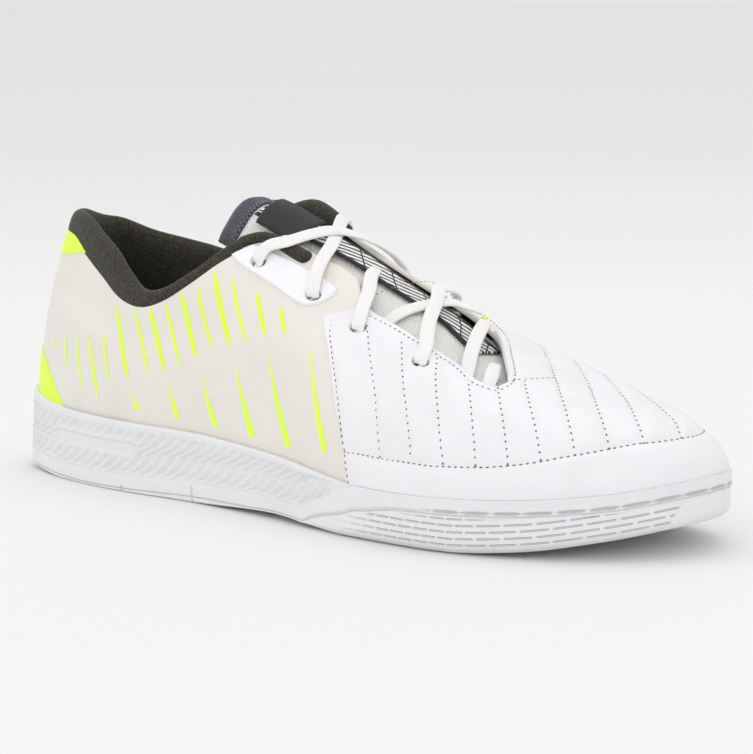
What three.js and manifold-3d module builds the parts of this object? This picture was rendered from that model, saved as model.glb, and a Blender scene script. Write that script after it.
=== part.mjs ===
// Indoor soccer shoe for the right foot, in millimetres.
// The sole stands on z = 0, the toe points along +X, the outer side is -Y and +Z is up.
// The origin is on the floor under the middle of the outsole.
import * as THREE from "three";
import { mergeVertices } from "three/addons/utils/BufferGeometryUtils.js";
import Module from "manifold-3d";

const wasm = await Module();
wasm.setup();

// Main sizes
const LENGTH = 290; // outsole, heel to toe
const BALL_WIDTH = 98;
const HEEL_WIDTH = 72;
const INSTEP_HEIGHT = 105; // top of the tongue above the floor
const COLLAR_HEIGHT = 0.876 * INSTEP_HEIGHT; // cut edge of the upper at the back of the heel
const SOLE_HEIGHT = 31.5; // sole wall at the back of the heel
const TOE_SPRING = 10.5;

// Sole
const TREAD_FLOOR = 4; // rubber under the foam
const LIP = 2.2; // sole wall beside the upper
const LIP_DEPTH = 5; // from the top of the wall down to the deck
const STEP_DROP = 5.7; // from the top edge of the rubber down to the step in its side
const STEP_INSET = 0.9;
const STEP_HEIGHT = 0.6;
const CUP_START = 147; // where the top edge of the rubber starts to rise, from the heel
const CUP_SLOPE = 0.4;
const CUP_FOOT = 0.1; // height of that edge where the rise starts, share of SOLE_HEIGHT
const TREAD_ROUND = 4; // rounding from the side into the tread
const RIB_PITCH = 5.8; // ribs on the side of the foam
const RIB_RELIEF = 0.6;
const RIB_LEAN = 0.9; // forward lean for each millimetre up
const GROOVE_WIDTH = 1.8;
const GROOVE_DEPTH = 1.3;
const TREAD_BAND = 9; // plain band around the lugs
const INSOLE = 3.5;
const INSOLE_EDGE = 1; // how far its edge stands up and is rounded in below
const INSOLE_DISH = 6; // width of that raised edge

// Upper
const UPPER_INSET = 2.5; // from the edge of the sole to the foot of the upper
const HEEL_TUCK = 1.6; // the top of the sole wall and the upper lean in by this much at the heel
const TUCK_END = 3; // a station, not a length: that has faded out there
const WALL = 2;
const LEATHER = 1.2;
const PATCH = 0.8;
const COLLAR_PAD = 7; // thickness of the padded collar
const COLLAR_ROLL = 11.5; // tallest stretch of the roll above the cut edge of the upper
const LINING_DEPTH = 26; // how far the padding reaches down inside
const TONGUE_THICK = 4;
const TONGUE_SINK = 1.4; // top of the tongue below the line of the upper, on the ridge
const TONGUE_TUCK = 4.4; // the same under the flaps
const TONGUE_DROP = 5.6; // the top end of the tongue lies this much deeper
const TONGUE_REACH = 24; // half width
const BINDING = 9; // knitted band at the top of the tongue
const WEB_WIDTH = 12;
const WEB_THICK = 1;
const LABEL_LENGTH = 16;
const LABEL_WIDTH = 24;
const LACE_WIDTH = 5.6;
const LACE_THICK = 1.3;
const LACE_SAG = 5; // the laces dip between the flaps, down to the tongue
const EYELET = 4.4;
const CLEAR = 0.3; // between pieces that meet
const SOFT_CLEAR = 0.6; // between pieces that only lie on each other

const COLUMNS = 52; // around the shoe, an even number
const ROWS = 8; // from the foot of the upper to its ridge

// A table's rows as one list for each named column.
function table(names, rows) {
  const columns = {};
  names.split(" ").forEach((name, i) => (columns[name] = rows.map((row) => row[i])));
  return columns;
}

// Thirteen stations from the back of the heel to the tip of the toe, closer together at both ends.
// outer, inner: edge of the sole, as shares of the width there. rim, rubber: top of the sole wall and
// of the rubber, shares of SOLE_HEIGHT. floor: share of TOE_SPRING, cut off at the ground.
// top: ridge height, share of INSTEP_HEIGHT. ridge: its side shift, share of BALL_WIDTH.
// round, crown: fullness of a rib in plan and in height. swell: how far its inner side bulges over
// the waist of the sole, share of its reach.
const LAST = table("outer inner rim rubber floor top ridge round crown swell", [
  [0.0, 0.0, 1.0, 0.26, 0.48, 1.16, 0.0, 2.26, 1.5, 0],
  [-0.28, 0.27, 0.965, 0.26, 0.3, 1.16, 0.0, 2.27, 1.53, 0],
  [-0.412, 0.397, 0.885, 0.24, 0.09, 1.15, 0.005, 2.3, 1.74, 0],
  [-0.495, 0.47, 0.83, 0.205, -0.05, 1.125, 0.02, 2.37, 2.02, 0.06],
  [-0.528, 0.446, 0.805, 0.215, -0.08, 1.085, 0.04, 2.39, 2.12, 0.22],
  [-0.489, 0.355, 0.785, 0.25, 0.03, 1.0, 0.06, 2.3, 2.1, 0.32],
  [-0.466, 0.343, 0.705, 0.25, 0.21, 0.864, 0.065, 2.21, 2.01, 0.22],
  [-0.504, 0.422, 0.59, 0.2, -0.03, 0.738, 0.058, 2.12, 1.96, 0.06],
  [-0.507, 0.477, 0.59, 0.2, -0.03, 0.632, 0.049, 2.08, 1.92, 0],
  [-0.414, 0.463, 0.63, 0.2, 0.19, 0.561, 0.045, 2.02, 1.88, 0],
  [-0.256, 0.378, 0.705, 0.2, 0.57, 0.512, 0.046, 1.96, 1.815, 0],
  [-0.076, 0.245, 0.8, 0.2, 0.89, 0.483, 0.048, 1.91, 1.78, 0],
  [0.084, 0.084, 0.84, 0.2, 1.0, 0.473, 0.05, 1.89, 1.86, 0],
]);
const STATIONS = LAST.rim.length - 1;
// The ridge starts and ends inside the outline.
const RIDGE_HEEL = 0.16; // share of LENGTH
const RIDGE_TOE = 0.82; // share of LENGTH
// The width grows from heel to ball over this stretch.
const WAIST_START = 0.25; // share of LENGTH
const WAIST_LENGTH = 0.4; // share of LENGTH

// Cut edge of the upper seen from the side: share of LENGTH, heights as shares of COLLAR_HEIGHT.
// roll: height of the padded roll on it, share of COLLAR_ROLL.
const COLLAR = table("along outer inner roll", [
  [-0.05, 0.98, 0.98, 0.8],
  [0.04, 0.98, 0.95, 0.82],
  [0.1, 0.965, 0.865, 0.88],
  [0.14, 0.905, 0.825, 0.98],
  [0.18, 0.835, 0.8, 1.0],
  [0.215, 0.765, 0.785, 0.88],
  [0.25, 0.737, 0.775, 0.57],
  [0.285, 0.765, 0.79, 0.45],
  [0.325, 0.84, 0.845, 0.5],
  [0.365, 0.93, 0.925, 0.64],
  [0.4, 0.99, 1.0, 0.62],
  [0.44, 1.03, 1.05, 0.6],
]);

// Throat seen from above, around its edge: shares of LENGTH and of BALL_WIDTH.
const THROAT = table("along across", [
  [0.3, -0.07],
  [0.36, -0.1],
  [0.41, -0.125],
  [0.47, -0.125],
  [0.532, -0.105],
  [0.556, -0.158],
  [0.575, -0.198],
  [0.63, -0.204],
  [0.71, -0.22],
  [0.753, -0.248],
  [0.772, -0.235],
  [0.776, -0.195],
  [0.735, -0.04],
  [0.69, 0.1],
  [0.65, 0.16],
  [0.6, 0.185],
  [0.52, 0.155],
  [0.44, 0.14],
  [0.39, 0.135],
  [0.3, 0.12],
]);
const THROAT_BASE = 0.42; // the throat cuts nothing below this share of INSTEP_HEIGHT

// Rear edge of the quilted leather seen from the side: share of LENGTH, share of INSTEP_HEIGHT.
const LEATHER_OUTER = table("along up", [
  [0.63, 0.1],
  [0.62, 0.23],
  [0.61, 0.325],
  [0.595, 0.39],
  [0.578, 0.478],
  [0.558, 0.562],
  [0.541, 0.62],
  [0.531, 0.662],
  [0.577, 0.69],
  [0.577, 1.1],
]);
const LEATHER_INNER = table("along up", [
  [0.65, 0.1],
  [0.655, 0.3],
  [0.665, 0.5],
  [0.68, 0.62],
  [0.68, 1.1],
]);

// Eyestay patch seen from the side, shares as above.
const EYESTAY = table("along up", [
  [0.371, 0.84],
  [0.384, 0.81],
  [0.44, 0.748],
  [0.497, 0.688],
  [0.512, 0.691],
  [0.528, 0.715],
  [0.53, 0.735],
  [0.52, 0.75],
  [0.46, 0.812],
  [0.407, 0.857],
  [0.386, 0.872],
  [0.376, 0.862],
]);

// Heel tab below the collar and heel counter above the sole, seen from the side.
const HEEL_TAB = table("along up", [
  [-0.1, 0.755],
  [0.085, 0.77],
  [0.14, 0.79],
  [0.14, 0.95],
  [-0.1, 0.95],
]);
const HEEL_COUNTER = table("along up", [
  [-0.1, 0.2],
  [0.13, 0.2],
  [0.117, 0.245],
  [0.103, 0.28],
  [0.083, 0.335],
  [0.064, 0.389],
  [0.037, 0.434],
  [0.01, 0.47],
  [-0.1, 0.49],
]);

// Eyelets seen from above, shares of LENGTH and of BALL_WIDTH.
const EYELETS = table("outerAlong outerAcross innerAlong innerAcross", [
  [0.416, -0.224, 0.43, 0.215],
  [0.506, -0.237, 0.52, 0.225],
  [0.585, -0.276, 0.59, 0.255],
  [0.68, -0.29, 0.668, 0.25],
]);

// Routes of the laces: along and across as above, then the dip as a share of LACE_SAG.
const LACES = {
  lace_top: [
    [[0.414, -0.205, 0], [0.444, -0.15, 0], [0.456, -0.07, 0.4], [0.465, 0.04, 0.55],
      [0.488, 0.11, 0.15], [0.512, 0.2, 0]],
    [[0.503, -0.215, 0], [0.493, -0.145, 0], [0.48, -0.05, 0.3], [0.465, 0.04, 0.55],
      [0.448, 0.11, 0.15], [0.432, 0.19, 0]],
  ],
  lace_third: [[[0.585, -0.25, 0], [0.574, -0.2, 0], [0.56, -0.13, 0.35], [0.543, -0.055, 0.5]]],
  lace_middle: [
    [[0.596, -0.24, 1.17], [0.601, -0.18, 1.1], [0.606, -0.12, 0.7], [0.613, -0.02, 0.25],
      [0.622, 0.09, 0.1], [0.65, 0.15, -0.05]],
    [[0.68, -0.265, 0], [0.664, -0.2, 0], [0.645, -0.12, 0.15], [0.615, 0.03, 0.2],
      [0.593, 0.13, 0.1], [0.59, 0.23, 0]],
  ],
  lace_sixth: [
    [[0.732, -0.25, 1.17], [0.722, -0.19, 1.1], [0.706, -0.11, 0.8], [0.685, 0.0, 0.5],
      [0.668, 0.1, 0]],
  ],
  lace_low: [[[0.762, -0.26, 1.17], [0.755, -0.2, 1.1], [0.747, -0.15, 0.9], [0.738, -0.1, 0.7]]],
};

// Middle of the tongue and of the webbing on it, seen from above.
const TONGUE = table("along middle webbing", [
  [0.34, 0.03, 0.04],
  [0.435, 0.03, 0.05],
  [0.5, 0.025, 0.062],
  [0.56, 0.015, 0.062],
  [0.62, 0.0, 0.06],
  [0.675, -0.015, 0.04],
  [0.7, -0.03, 0.01],
  [0.81, -0.03, 0.0],
]);
const WEB_END = 0.7; // share of LENGTH

// Grooves under the sole, shares of LENGTH: the last two heel grooves show as slits in the side.
const TREAD = [0.115, 0.175, 0.235, 0.295, 0.353, 0.61, 0.65, 0.69, 0.73, 0.77, 0.81, 0.85, 0.89];
const SLITS = table("along up", [
  [0.235, 0.07],
  [0.353, 0.22],
]);

const COLOURS = {
  outsole: 0xf1f1f3,
  midsole: 0xf3f3f4,
  insole: 0x4a4a44,
  upper: 0xe7e2da,
  leather: 0xf4f3f6,
  patch: 0xf6f6f7,
  neon: 0xd4ff4a,
  lining: 0x2f2d28,
  tongue: 0xe9e6df,
  knit: 0x33333a,
  webbing: 0x1c1c20,
  lace: 0xf7f7f7,
};

const smooth = (t) => {
  const c = Math.min(1, Math.max(0, t));
  return c * c * (3 - 2 * c);
};

// Smooth curve through equally spaced values; the list repeats where at() says so.
function spline(at, t) {
  const i = Math.floor(t);
  const f = t - i;
  const [a, b, c, d] = [at(i - 1), at(i), at(i + 1), at(i + 2)];
  return b + 0.5 * f * (c - a + f * (2 * a - 5 * b + 4 * c - d + f * (3 * (b - c) + d - a)));
}

// A column of the table of stations, mirrored past both ends.
function column(name, station) {
  const fold = (i) => STATIONS - Math.abs(STATIONS - Math.abs(i));
  return spline((i) => LAST[name][fold(i)], station);
}

// A column over its own "along" shares.
function curve(rows, name, along) {
  const last = rows.along.length - 1;
  let i = 0;
  while (i < last - 1 && rows.along[i + 1] < along) i++;
  const slope = (j) => {
    const a = Math.max(0, j - 1);
    const b = Math.min(last, j + 1);
    return (rows[name][b] - rows[name][a]) / (rows.along[b] - rows.along[a]);
  };
  const span = rows.along[i + 1] - rows.along[i];
  const t = Math.min(1, Math.max(0, (along - rows.along[i]) / span));
  const rise = rows[name][i + 1] - rows[name][i];
  const bend = (1 - t) * (slope(i) * span - rise) + t * (rise - slope(i + 1) * span);
  return rows[name][i] + rise * t + t * (1 - t) * bend;
}

// A place around the shoe runs from 0 at the heel along the outer side to 12 at the toe, and back
// along the inner side to 24. Its station is the same on both sides.
const station = (place) => STATIONS - Math.abs(STATIONS - place);
const share = (place) => (1 - Math.cos((Math.PI * station(place)) / STATIONS)) / 2;

// Edge of the sole in plan at a place, moved in by an inset.
function edge(place, inset = 0) {
  const around = 2 * STATIONS;
  const side = (i) => {
    const k = ((i % around) + around) % around;
    return k <= STATIONS ? LAST.outer[k] : LAST.inner[around - k];
  };
  const point = (p) => {
    const s = (1 - Math.cos((Math.PI * p) / STATIONS)) / 2;
    const width = HEEL_WIDTH + (BALL_WIDTH - HEEL_WIDTH) * smooth((s - WAIST_START) / WAIST_LENGTH);
    return new THREE.Vector2(s * LENGTH, width * spline(side, p));
  };
  const step = 1e-3;
  const along = point(place + step).sub(point(place - step)).normalize();
  return point(place).add(new THREE.Vector2(-along.y, along.x).multiplyScalar(inset));
}

const rimHeight = (place) => SOLE_HEIGHT * column("rim", station(place));
const floorHeight = (place) => Math.max(0, TOE_SPRING * column("floor", station(place)));
const deckHeight = (place) => rimHeight(place) - LIP_DEPTH;
const cupLine = (place) =>
  Math.max(
    SOLE_HEIGHT * column("rubber", station(place)),
    SOLE_HEIGHT * CUP_FOOT + (share(place) * LENGTH - CUP_START) * CUP_SLOPE,
  );
const rubberTop = (place) => Math.min(cupLine(place), rimHeight(place));
const tuck = (place) => HEEL_TUCK * (1 - smooth(station(place) / TUCK_END));
const FOOT_LAP = 1; // the upper's ribs start this far below the top of the sole wall

const ridgeAlong = (place) => LENGTH * (RIDGE_HEEL + (RIDGE_TOE - RIDGE_HEEL) * share(place));
const ridgeHeight = (place) => INSTEP_HEIGHT * column("top", station(place));

// How steeply the ridge rises towards the toe at a place.
function ridgeSlope(place) {
  const k = Math.min(STATIONS - 0.3, Math.max(0.3, station(place)));
  return (ridgeHeight(k + 0.2) - ridgeHeight(k - 0.2)) / (ridgeAlong(k + 0.2) - ridgeAlong(k - 0.2));
}

// The rib that rises from a place to the ridge of the last, grown outwards by an amount.
function rib(place, grow = 0) {
  const k = station(place);
  return {
    foot: edge(place, UPPER_INSET + tuck(place) - grow),
    ridge: new THREE.Vector2(ridgeAlong(place), BALL_WIDTH * column("ridge", k)),
    low: rimHeight(place) - FOOT_LAP,
    high: ridgeHeight(place) + grow,
    slope: ridgeSlope(place),
    round: column("round", k),
    crown: column("crown", k),
    swell: place > STATIONS ? column("swell", k) : 0,
  };
}

// A point on a rib: turn 0 is its foot and 1 is the ridge. Near the ridge a rib also follows the
// ridge's own slope, so that the last is smooth across it.
function onRib(r, turn) {
  const a = (turn * Math.PI) / 2;
  const out = turn === 1 ? 0 : Math.pow(Math.cos(a), 2 / r.round);
  const up = Math.pow(Math.sin(a), 2 / r.crown);
  const plan = r.ridge.clone().lerp(r.foot, out * (1 + r.swell * Math.sin(2 * a)));
  const ahead = r.slope * (plan.x - r.ridge.x) * (1 - out) ** 2;
  return new THREE.Vector3(plan.x, plan.y, r.low + (r.high - r.low) * up + ahead);
}

// Halves a range until the value where a rising test turns from true to false.
function halve(from, to, below) {
  let [low, high] = [from, to];
  for (let i = 0; i < 30; i++) {
    const mid = (low + high) / 2;
    if (below(mid)) low = mid;
    else high = mid;
  }
  return low;
}

// The turn of a rib at a height.
const turnAt = (r, height) => halve(0, 1, (turn) => onRib(r, turn).z < height);

const TOP_TURN = 0.3; // a spot in plan is looked for above this turn of a rib

// The point of the last above a spot in plan.
function above(along, across) {
  const x = along * LENGTH;
  const y = across * BALL_WIDTH;
  const crossing = (k) => {
    const outer = y < BALL_WIDTH * column("ridge", k);
    const r = rib(outer ? k : 2 * STATIONS - k);
    return onRib(r, halve(TOP_TURN, 1, (turn) => (outer ? onRib(r, turn).y < y : onRib(r, turn).y > y)));
  };
  return new THREE.Vector3(x, y, crossing(halve(0, STATIONS, (k) => crossing(k).x < x)).z);
}

// The same point moved out square to the last.
function off(along, across, depth) {
  const step = 0.008;
  const ahead = above(along + step, across).sub(above(along - step, across));
  const beside = above(along, across + step).sub(above(along, across - step));
  return above(along, across).addScaledVector(ahead.cross(beside).normalize(), depth);
}

// A closed mesh from loops of points: neighbouring loops are joined, and the ends take the
// triangles given for them.
function joinLoops(loops, firstEnd = [], lastEnd = [], ring = false) {
  const n = loops[0].length;
  const points = loops.flat();
  const faces = [];
  const strips = ring ? loops.length : loops.length - 1;
  for (let s = 0; s < strips; s++)
    for (let i = 0; i < n; i++) {
      const a = s * n + i;
      const b = s * n + ((i + 1) % n);
      const c = ((s + 1) % loops.length) * n + ((i + 1) % n);
      const d = ((s + 1) % loops.length) * n + i;
      faces.push(a, b, c, a, c, d);
    }
  const last = (loops.length - 1) * n;
  for (const [a, b, c] of firstEnd) faces.push(c, b, a);
  for (const [a, b, c] of lastEnd) faces.push(last + a, last + b, last + c);
  const made = new THREE.BufferGeometry();
  made.setAttribute("position", new THREE.Float32BufferAttribute(points.flatMap((p) => p.toArray()), 3));
  made.setIndex(faces);
  return made;
}

// Triangles that cover a loop around the shoe, from one side across to the other.
function across(n) {
  const faces = [[0, 1, n - 1]];
  for (let i = 1; i < n / 2 - 1; i++) faces.push([i, i + 1, n - i - 1], [i, n - i - 1, n - i]);
  faces.push([n / 2 - 1, n / 2, n / 2 + 1]);
  return faces;
}

// Triangles that cover a flat loop.
function flatEnd(outline) {
  return THREE.ShapeUtils.triangulateShape(outline, []);
}

// A solid from a geometry, facing out whichever way its faces were listed.
function solid(geometry) {
  const bare = geometry.clone();
  bare.deleteAttribute("normal");
  bare.deleteAttribute("uv");
  const merged = mergeVertices(bare, 1e-4);
  const p = merged.getAttribute("position");
  const triVerts = new Uint32Array(merged.index.array);
  const corner = (i) => new THREE.Vector3().fromBufferAttribute(p, triVerts[i]);
  let volume = 0;
  for (let i = 0; i < triVerts.length; i += 3) volume += corner(i).dot(corner(i + 1).cross(corner(i + 2)));
  if (volume < 0)
    for (let i = 0; i < triVerts.length; i += 3) [triVerts[i], triVerts[i + 1]] = [triVerts[i + 1], triVerts[i]];
  return new wasm.Manifold(new wasm.Mesh({ numProp: 3, vertProperties: new Float32Array(p.array), triVerts }));
}

function geometryOf(made) {
  const { vertProperties, triVerts } = made.getMesh();
  const geometry = new THREE.BufferGeometry();
  geometry.setAttribute("position", new THREE.Float32BufferAttribute(vertProperties, 3));
  geometry.setIndex(new THREE.Uint32BufferAttribute(triVerts, 1));
  const faceted = geometry.toNonIndexed();
  faceted.computeVertexNormals();
  return faceted;
}

const join = (parts) => parts.reduce((all, one) => all.add(one));

// Places around the shoe at which a form is worked out.
const EVEN = Array.from({ length: COLUMNS }, (_, i) => (2 * STATIONS * i) / COLUMNS);

// A solid whose side follows the outline through a profile of insets and heights.
function around(profile, places = EVEN) {
  const loops = profile(0).map((_, row) =>
    places.map((place) => {
      const [inset, height] = profile(place)[row];
      const at = edge(place, inset);
      return new THREE.Vector3(at.x, at.y, height);
    }),
  );
  return solid(joinLoops(loops, across(places.length), across(places.length)));
}

// A ring whose section is a closed profile of insets and heights.
function ringAround(profile, places = EVEN) {
  const loops = places.map((place) =>
    profile(place).map(([inset, height]) => {
      const at = edge(place, inset);
      return new THREE.Vector3(at.x, at.y, height);
    }),
  );
  return solid(joinLoops(loops, [], [], true));
}

// The last grown by an amount, closed across at the height bottom(place).
function form(grow, bottom) {
  const ribs = EVEN.map((place) => rib(place, grow));
  const loops = [];
  if (ribs.every((r, i) => bottom(EVEN[i]) < r.low - 0.01))
    loops.push(ribs.map((r, i) => new THREE.Vector3(r.foot.x, r.foot.y, bottom(EVEN[i]))));
  for (let row = 0; row <= ROWS; row++)
    loops.push(
      ribs.map((r, i) => {
        const start = turnAt(r, bottom(EVEN[i]));
        return onRib(r, row === ROWS ? 1 : start + ((1 - start) * row) / ROWS);
      }),
    );
  return solid(joinLoops(loops, across(COLUMNS)));
}

// Layer of the upper between two amounts of growth, above the sole wall.
function layer(inner, outer) {
  const seat = (place) => rimHeight(place) + SOFT_CLEAR;
  const below = (place) => rimHeight(place) - FOOT_LAP / 2;
  return form(outer, seat).subtract(form(inner, below));
}

// A prism through a side view, between two values of y.
function sidePrism(points, from, to) {
  const shape = new THREE.Shape(points.map(([x, z]) => new THREE.Vector2(x, z)));
  const made = new THREE.ExtrudeGeometry(shape, { depth: to - from, bevelEnabled: false });
  return solid(made.rotateX(Math.PI / 2).translate(0, to, 0));
}

// A prism through a plan, between two heights.
function planPrism(points, from, to) {
  const shape = new THREE.Shape(points.map(([x, y]) => new THREE.Vector2(x, y)));
  const made = new THREE.ExtrudeGeometry(shape, { depth: to - from, bevelEnabled: false });
  return solid(made.translate(0, 0, from));
}

const REACH = LENGTH; // past the shoe on every side
const MIDDLE_LAP = 0.5; // the outer and inner halves of a cut overlap by this much

// What the collar line takes away, raised by an amount.
function collarCut(raise = 0) {
  const steps = 22;
  const halves = ["outer", "inner"].map((name) => {
    const [first, last] = [COLLAR.along[0], COLLAR.along.at(-1)];
    const line = Array.from({ length: steps + 1 }, (_, i) => {
      const along = first + ((last - first) * i) / steps;
      return [along * LENGTH, COLLAR_HEIGHT * curve(COLLAR, name, along) + raise];
    });
    const top = REACH;
    const outline = [...line, [last * LENGTH, top], [first * LENGTH, top]];
    return name === "outer"
      ? sidePrism(outline, -REACH, MIDDLE_LAP)
      : sidePrism(outline, -MIDDLE_LAP, REACH);
  });
  return join(halves);
}

function throatCut() {
  const outline = THROAT.along.map((along, i) => [along * LENGTH, THROAT.across[i] * BALL_WIDTH]);
  return planPrism(outline, THROAT_BASE * INSTEP_HEIGHT, REACH);
}

const openings = collarCut().add(throatCut());

// A hole through the upper at each eyelet, square to the last there.
const eyeletHoles = join(
  EYELETS.outerAlong.flatMap((_, i) =>
    ["outer", "inner"].map((side) => {
      const along = EYELETS[side + "Along"][i];
      const wide = EYELETS[side + "Across"][i];
      const at = above(along, wide);
      const out = off(along, wide, 1).sub(at);
      const hole = new THREE.CylinderGeometry(EYELET / 2, EYELET / 2, 4 * WALL, 6);
      hole.applyQuaternion(new THREE.Quaternion().setFromUnitVectors(new THREE.Vector3(0, 1, 0), out));
      return solid(hole.translate(at.x, at.y, at.z));
    }),
  ),
);

// Lower side of the rubber, up to its step: shares of STEP_INSET, of the rounding and of the height.
const TREAD_SIDE = table("step round up", [
  [1, 1, 0],
  [0.5, 0.35, 0.3],
  [0.33, 0, 0.9],
  [1, 0, 1],
]);
const ROUND_MOST = 0.4; // the rounding takes no more than this share of the side below the step
const RUBBER_INSET = 0.25; // the top edge of the rubber lies in by this much

function outsole() {
  const profile = (place) => {
    const floor = floorHeight(place);
    const top = rubberTop(place);
    const band = Math.max(STEP_HEIGHT, top - STEP_DROP - floor);
    const round = Math.min(TREAD_ROUND, ROUND_MOST * band);
    const ledge = floor + band + STEP_HEIGHT;
    return [
      ...TREAD_SIDE.up.map((up, i) => [
        TREAD_SIDE.step[i] * STEP_INSET + TREAD_SIDE.round[i] * round,
        floor + up * band,
      ]),
      [0, ledge],
      [0, (ledge + top) / 2],
      [RUBBER_INSET, top],
      [LIP, top],
      [LIP, floor + TREAD_FLOOR],
    ];
  };
  const body = around(profile);
  const grooves = TREAD.map((along) => {
    const place = (Math.acos(1 - 2 * along) * STATIONS) / Math.PI;
    const outer = edge(place, TREAD_BAND).y;
    const inner = edge(2 * STATIONS - place, TREAD_BAND).y;
    const depth = 2 * (GROOVE_DEPTH + floorHeight(place));
    const groove = new THREE.BoxGeometry(GROOVE_WIDTH, inner - outer, depth);
    return solid(groove.translate(along * LENGTH, (inner + outer) / 2, 0));
  });
  const slits = SLITS.along.flatMap((along, i) => {
    const place = (Math.acos(1 - 2 * along) * STATIONS) / Math.PI;
    const height = SLITS.up[i] * SOLE_HEIGHT;
    return [place, 2 * STATIONS - place].map((side) => {
      const at = edge(side, 0);
      const slit = new THREE.BoxGeometry(GROOVE_WIDTH / 2, 2 * STEP_INSET + 1, 2 * height);
      return solid(slit.translate(at.x, at.y, 0));
    });
  });
  return body.subtract(join([...grooves, ...slits]));
}

const OUTSIDE = -5; // past the edge of the sole or under its floor
const HEEL_PLACES = [0, 0.35, 0.7, 1.1]; // stations of the plain back of the foam
const FRONT_COLUMNS = 14; // columns between the ribs and the toe
const RIB_FADE = 6; // height of the foam's side over which its ribs fade out

// Rows of the foam's side: share of its height, inset beyond the tuck, share of the tuck, of the ribs'
// depth and of their lean.
const FOAM_SIDE = table("up inset tuck relief lean", [
  [0.1, 0, 0, 1, 0.1],
  [0.75, 0, 0.6, 1, 0.75],
  [0.86, 0.1, 0.8, 0, 0.8],
]);
const FOAM_TOP_INSET = 0.4;

function midsole() {
  // The ribbed side needs a column at each crest and each hollow.
  const ribEnd = (CUP_START + SOLE_HEIGHT) / LENGTH;
  const crests = 2 * Math.round((ribEnd * LENGTH) / RIB_PITCH);
  const side = [...HEEL_PLACES];
  for (let i = 3; i <= crests; i++) {
    const along = (ribEnd * i) / crests;
    side.push((Math.acos(1 - 2 * along) * STATIONS) / Math.PI);
  }
  const from = side.at(-1);
  for (let i = 1; i <= FRONT_COLUMNS; i++) side.push(from + ((STATIONS - from) * i) / FRONT_COLUMNS);
  const outer = side.filter((p, i) => i === 0 || p > side[i - 1]);
  const places = [...outer, ...outer.slice(1, -1).reverse().map((p) => 2 * STATIONS - p)];
  const nth = (p) => outer.findIndex((q) => Math.abs(q - station(p)) < 1e-9);
  const rank = new Map(places.map((p) => [p, nth(p)]));
  const body = (() => {
    const wallHeight = (p) => rimHeight(p) - rubberTop(p);
    const rows = [
      (p) => [RUBBER_INSET, floorHeight(p) + TREAD_FLOOR / 2, 0, 0],
      ...FOAM_SIDE.up.map((up, i) => (p) => [
        FOAM_SIDE.inset[i] + FOAM_SIDE.tuck[i] * tuck(p),
        rubberTop(p) + up * wallHeight(p),
        FOAM_SIDE.relief[i],
        FOAM_SIDE.lean[i],
      ]),
      (p) => [FOAM_TOP_INSET + tuck(p), rimHeight(p) + FOOT_LAP, 0, FOAM_SIDE.lean.at(-1)],
    ];
    const loops = rows.map((row) =>
      places.map((p) => {
        const [inset, height, relief, lean] = row(p);
        const fade = Math.min(1, Math.max(0, wallHeight(p) / RIB_FADE - 0.3));
        const hollow = rank.get(p) % 2 ? relief * RIB_RELIEF * fade : 0;
        const shift = lean * RIB_LEAN * wallHeight(p) * fade * Math.sin((Math.PI * station(p)) / STATIONS);
        const along = Math.min(1, share(p) + shift / LENGTH);
        const moved = (Math.acos(1 - 2 * along) * STATIONS) / Math.PI;
        const at = edge(p > STATIONS ? 2 * STATIONS - moved : moved, inset + hollow);
        return new THREE.Vector3(at.x, at.y, height);
      }),
    );
    return solid(joinLoops(loops, across(places.length), across(places.length)));
  })();
  const rubberSide = ringAround((place) => [
    [OUTSIDE, OUTSIDE],
    [LIP + CLEAR, OUTSIDE],
    [LIP + CLEAR, cupLine(place) + CLEAR],
    [OUTSIDE, cupLine(place) + CLEAR],
  ]);
  const rubberFloor = around((place) => [
    [LIP, OUTSIDE],
    [LIP, floorHeight(place) + TREAD_FLOOR + CLEAR],
  ]);
  const deck = around((place) => [
    [LIP + tuck(place), deckHeight(place)],
    [LIP + tuck(place), SOLE_HEIGHT + LIP_DEPTH],
  ]);
  const top = ringAround((place) => [
    [OUTSIDE, rimHeight(place)],
    [LIP + HEEL_TUCK + 1, rimHeight(place)],
    [LIP + HEEL_TUCK + 1, SOLE_HEIGHT + LIP_DEPTH],
    [OUTSIDE, SOLE_HEIGHT + LIP_DEPTH],
  ]);
  return body.subtract(join([rubberSide, rubberFloor, deck, top]));
}

function insole() {
  return around((place) => {
    const inset = UPPER_INSET + tuck(place) + WALL + SOFT_CLEAR;
    const deck = deckHeight(place) + CLEAR;
    return [
      [inset + INSOLE_EDGE, deck],
      [inset, deck + INSOLE_EDGE],
      [inset, deck + INSOLE + INSOLE_EDGE],
      [inset + INSOLE_DISH, deck + INSOLE],
    ];
  });
}

function upper() {
  const onDeck = (place) => deckHeight(place) + CLEAR;
  const through = (place) => deckHeight(place) - CLEAR;
  return form(0, onDeck).subtract(form(-WALL, through)).subtract(openings).subtract(eyeletHoles);
}

// An outline given in shares, seen from the side.
function sideOutline(rows) {
  return rows.along.map((along, i) => [along * LENGTH, rows.up[i] * INSTEP_HEIGHT]);
}

function vamp() {
  const front = [[REACH + LENGTH / 2, 1.1 * INSTEP_HEIGHT], [REACH + LENGTH / 2, 0.1 * INSTEP_HEIGHT]];
  const region = join([
    sidePrism([...sideOutline(LEATHER_OUTER), ...front], -REACH, MIDDLE_LAP),
    sidePrism([...sideOutline(LEATHER_INNER), ...front], -MIDDLE_LAP, REACH),
  ]);
  return layer(CLEAR, CLEAR + LEATHER).intersect(region).subtract(throatCut()).subtract(eyeletHoles);
}

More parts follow.
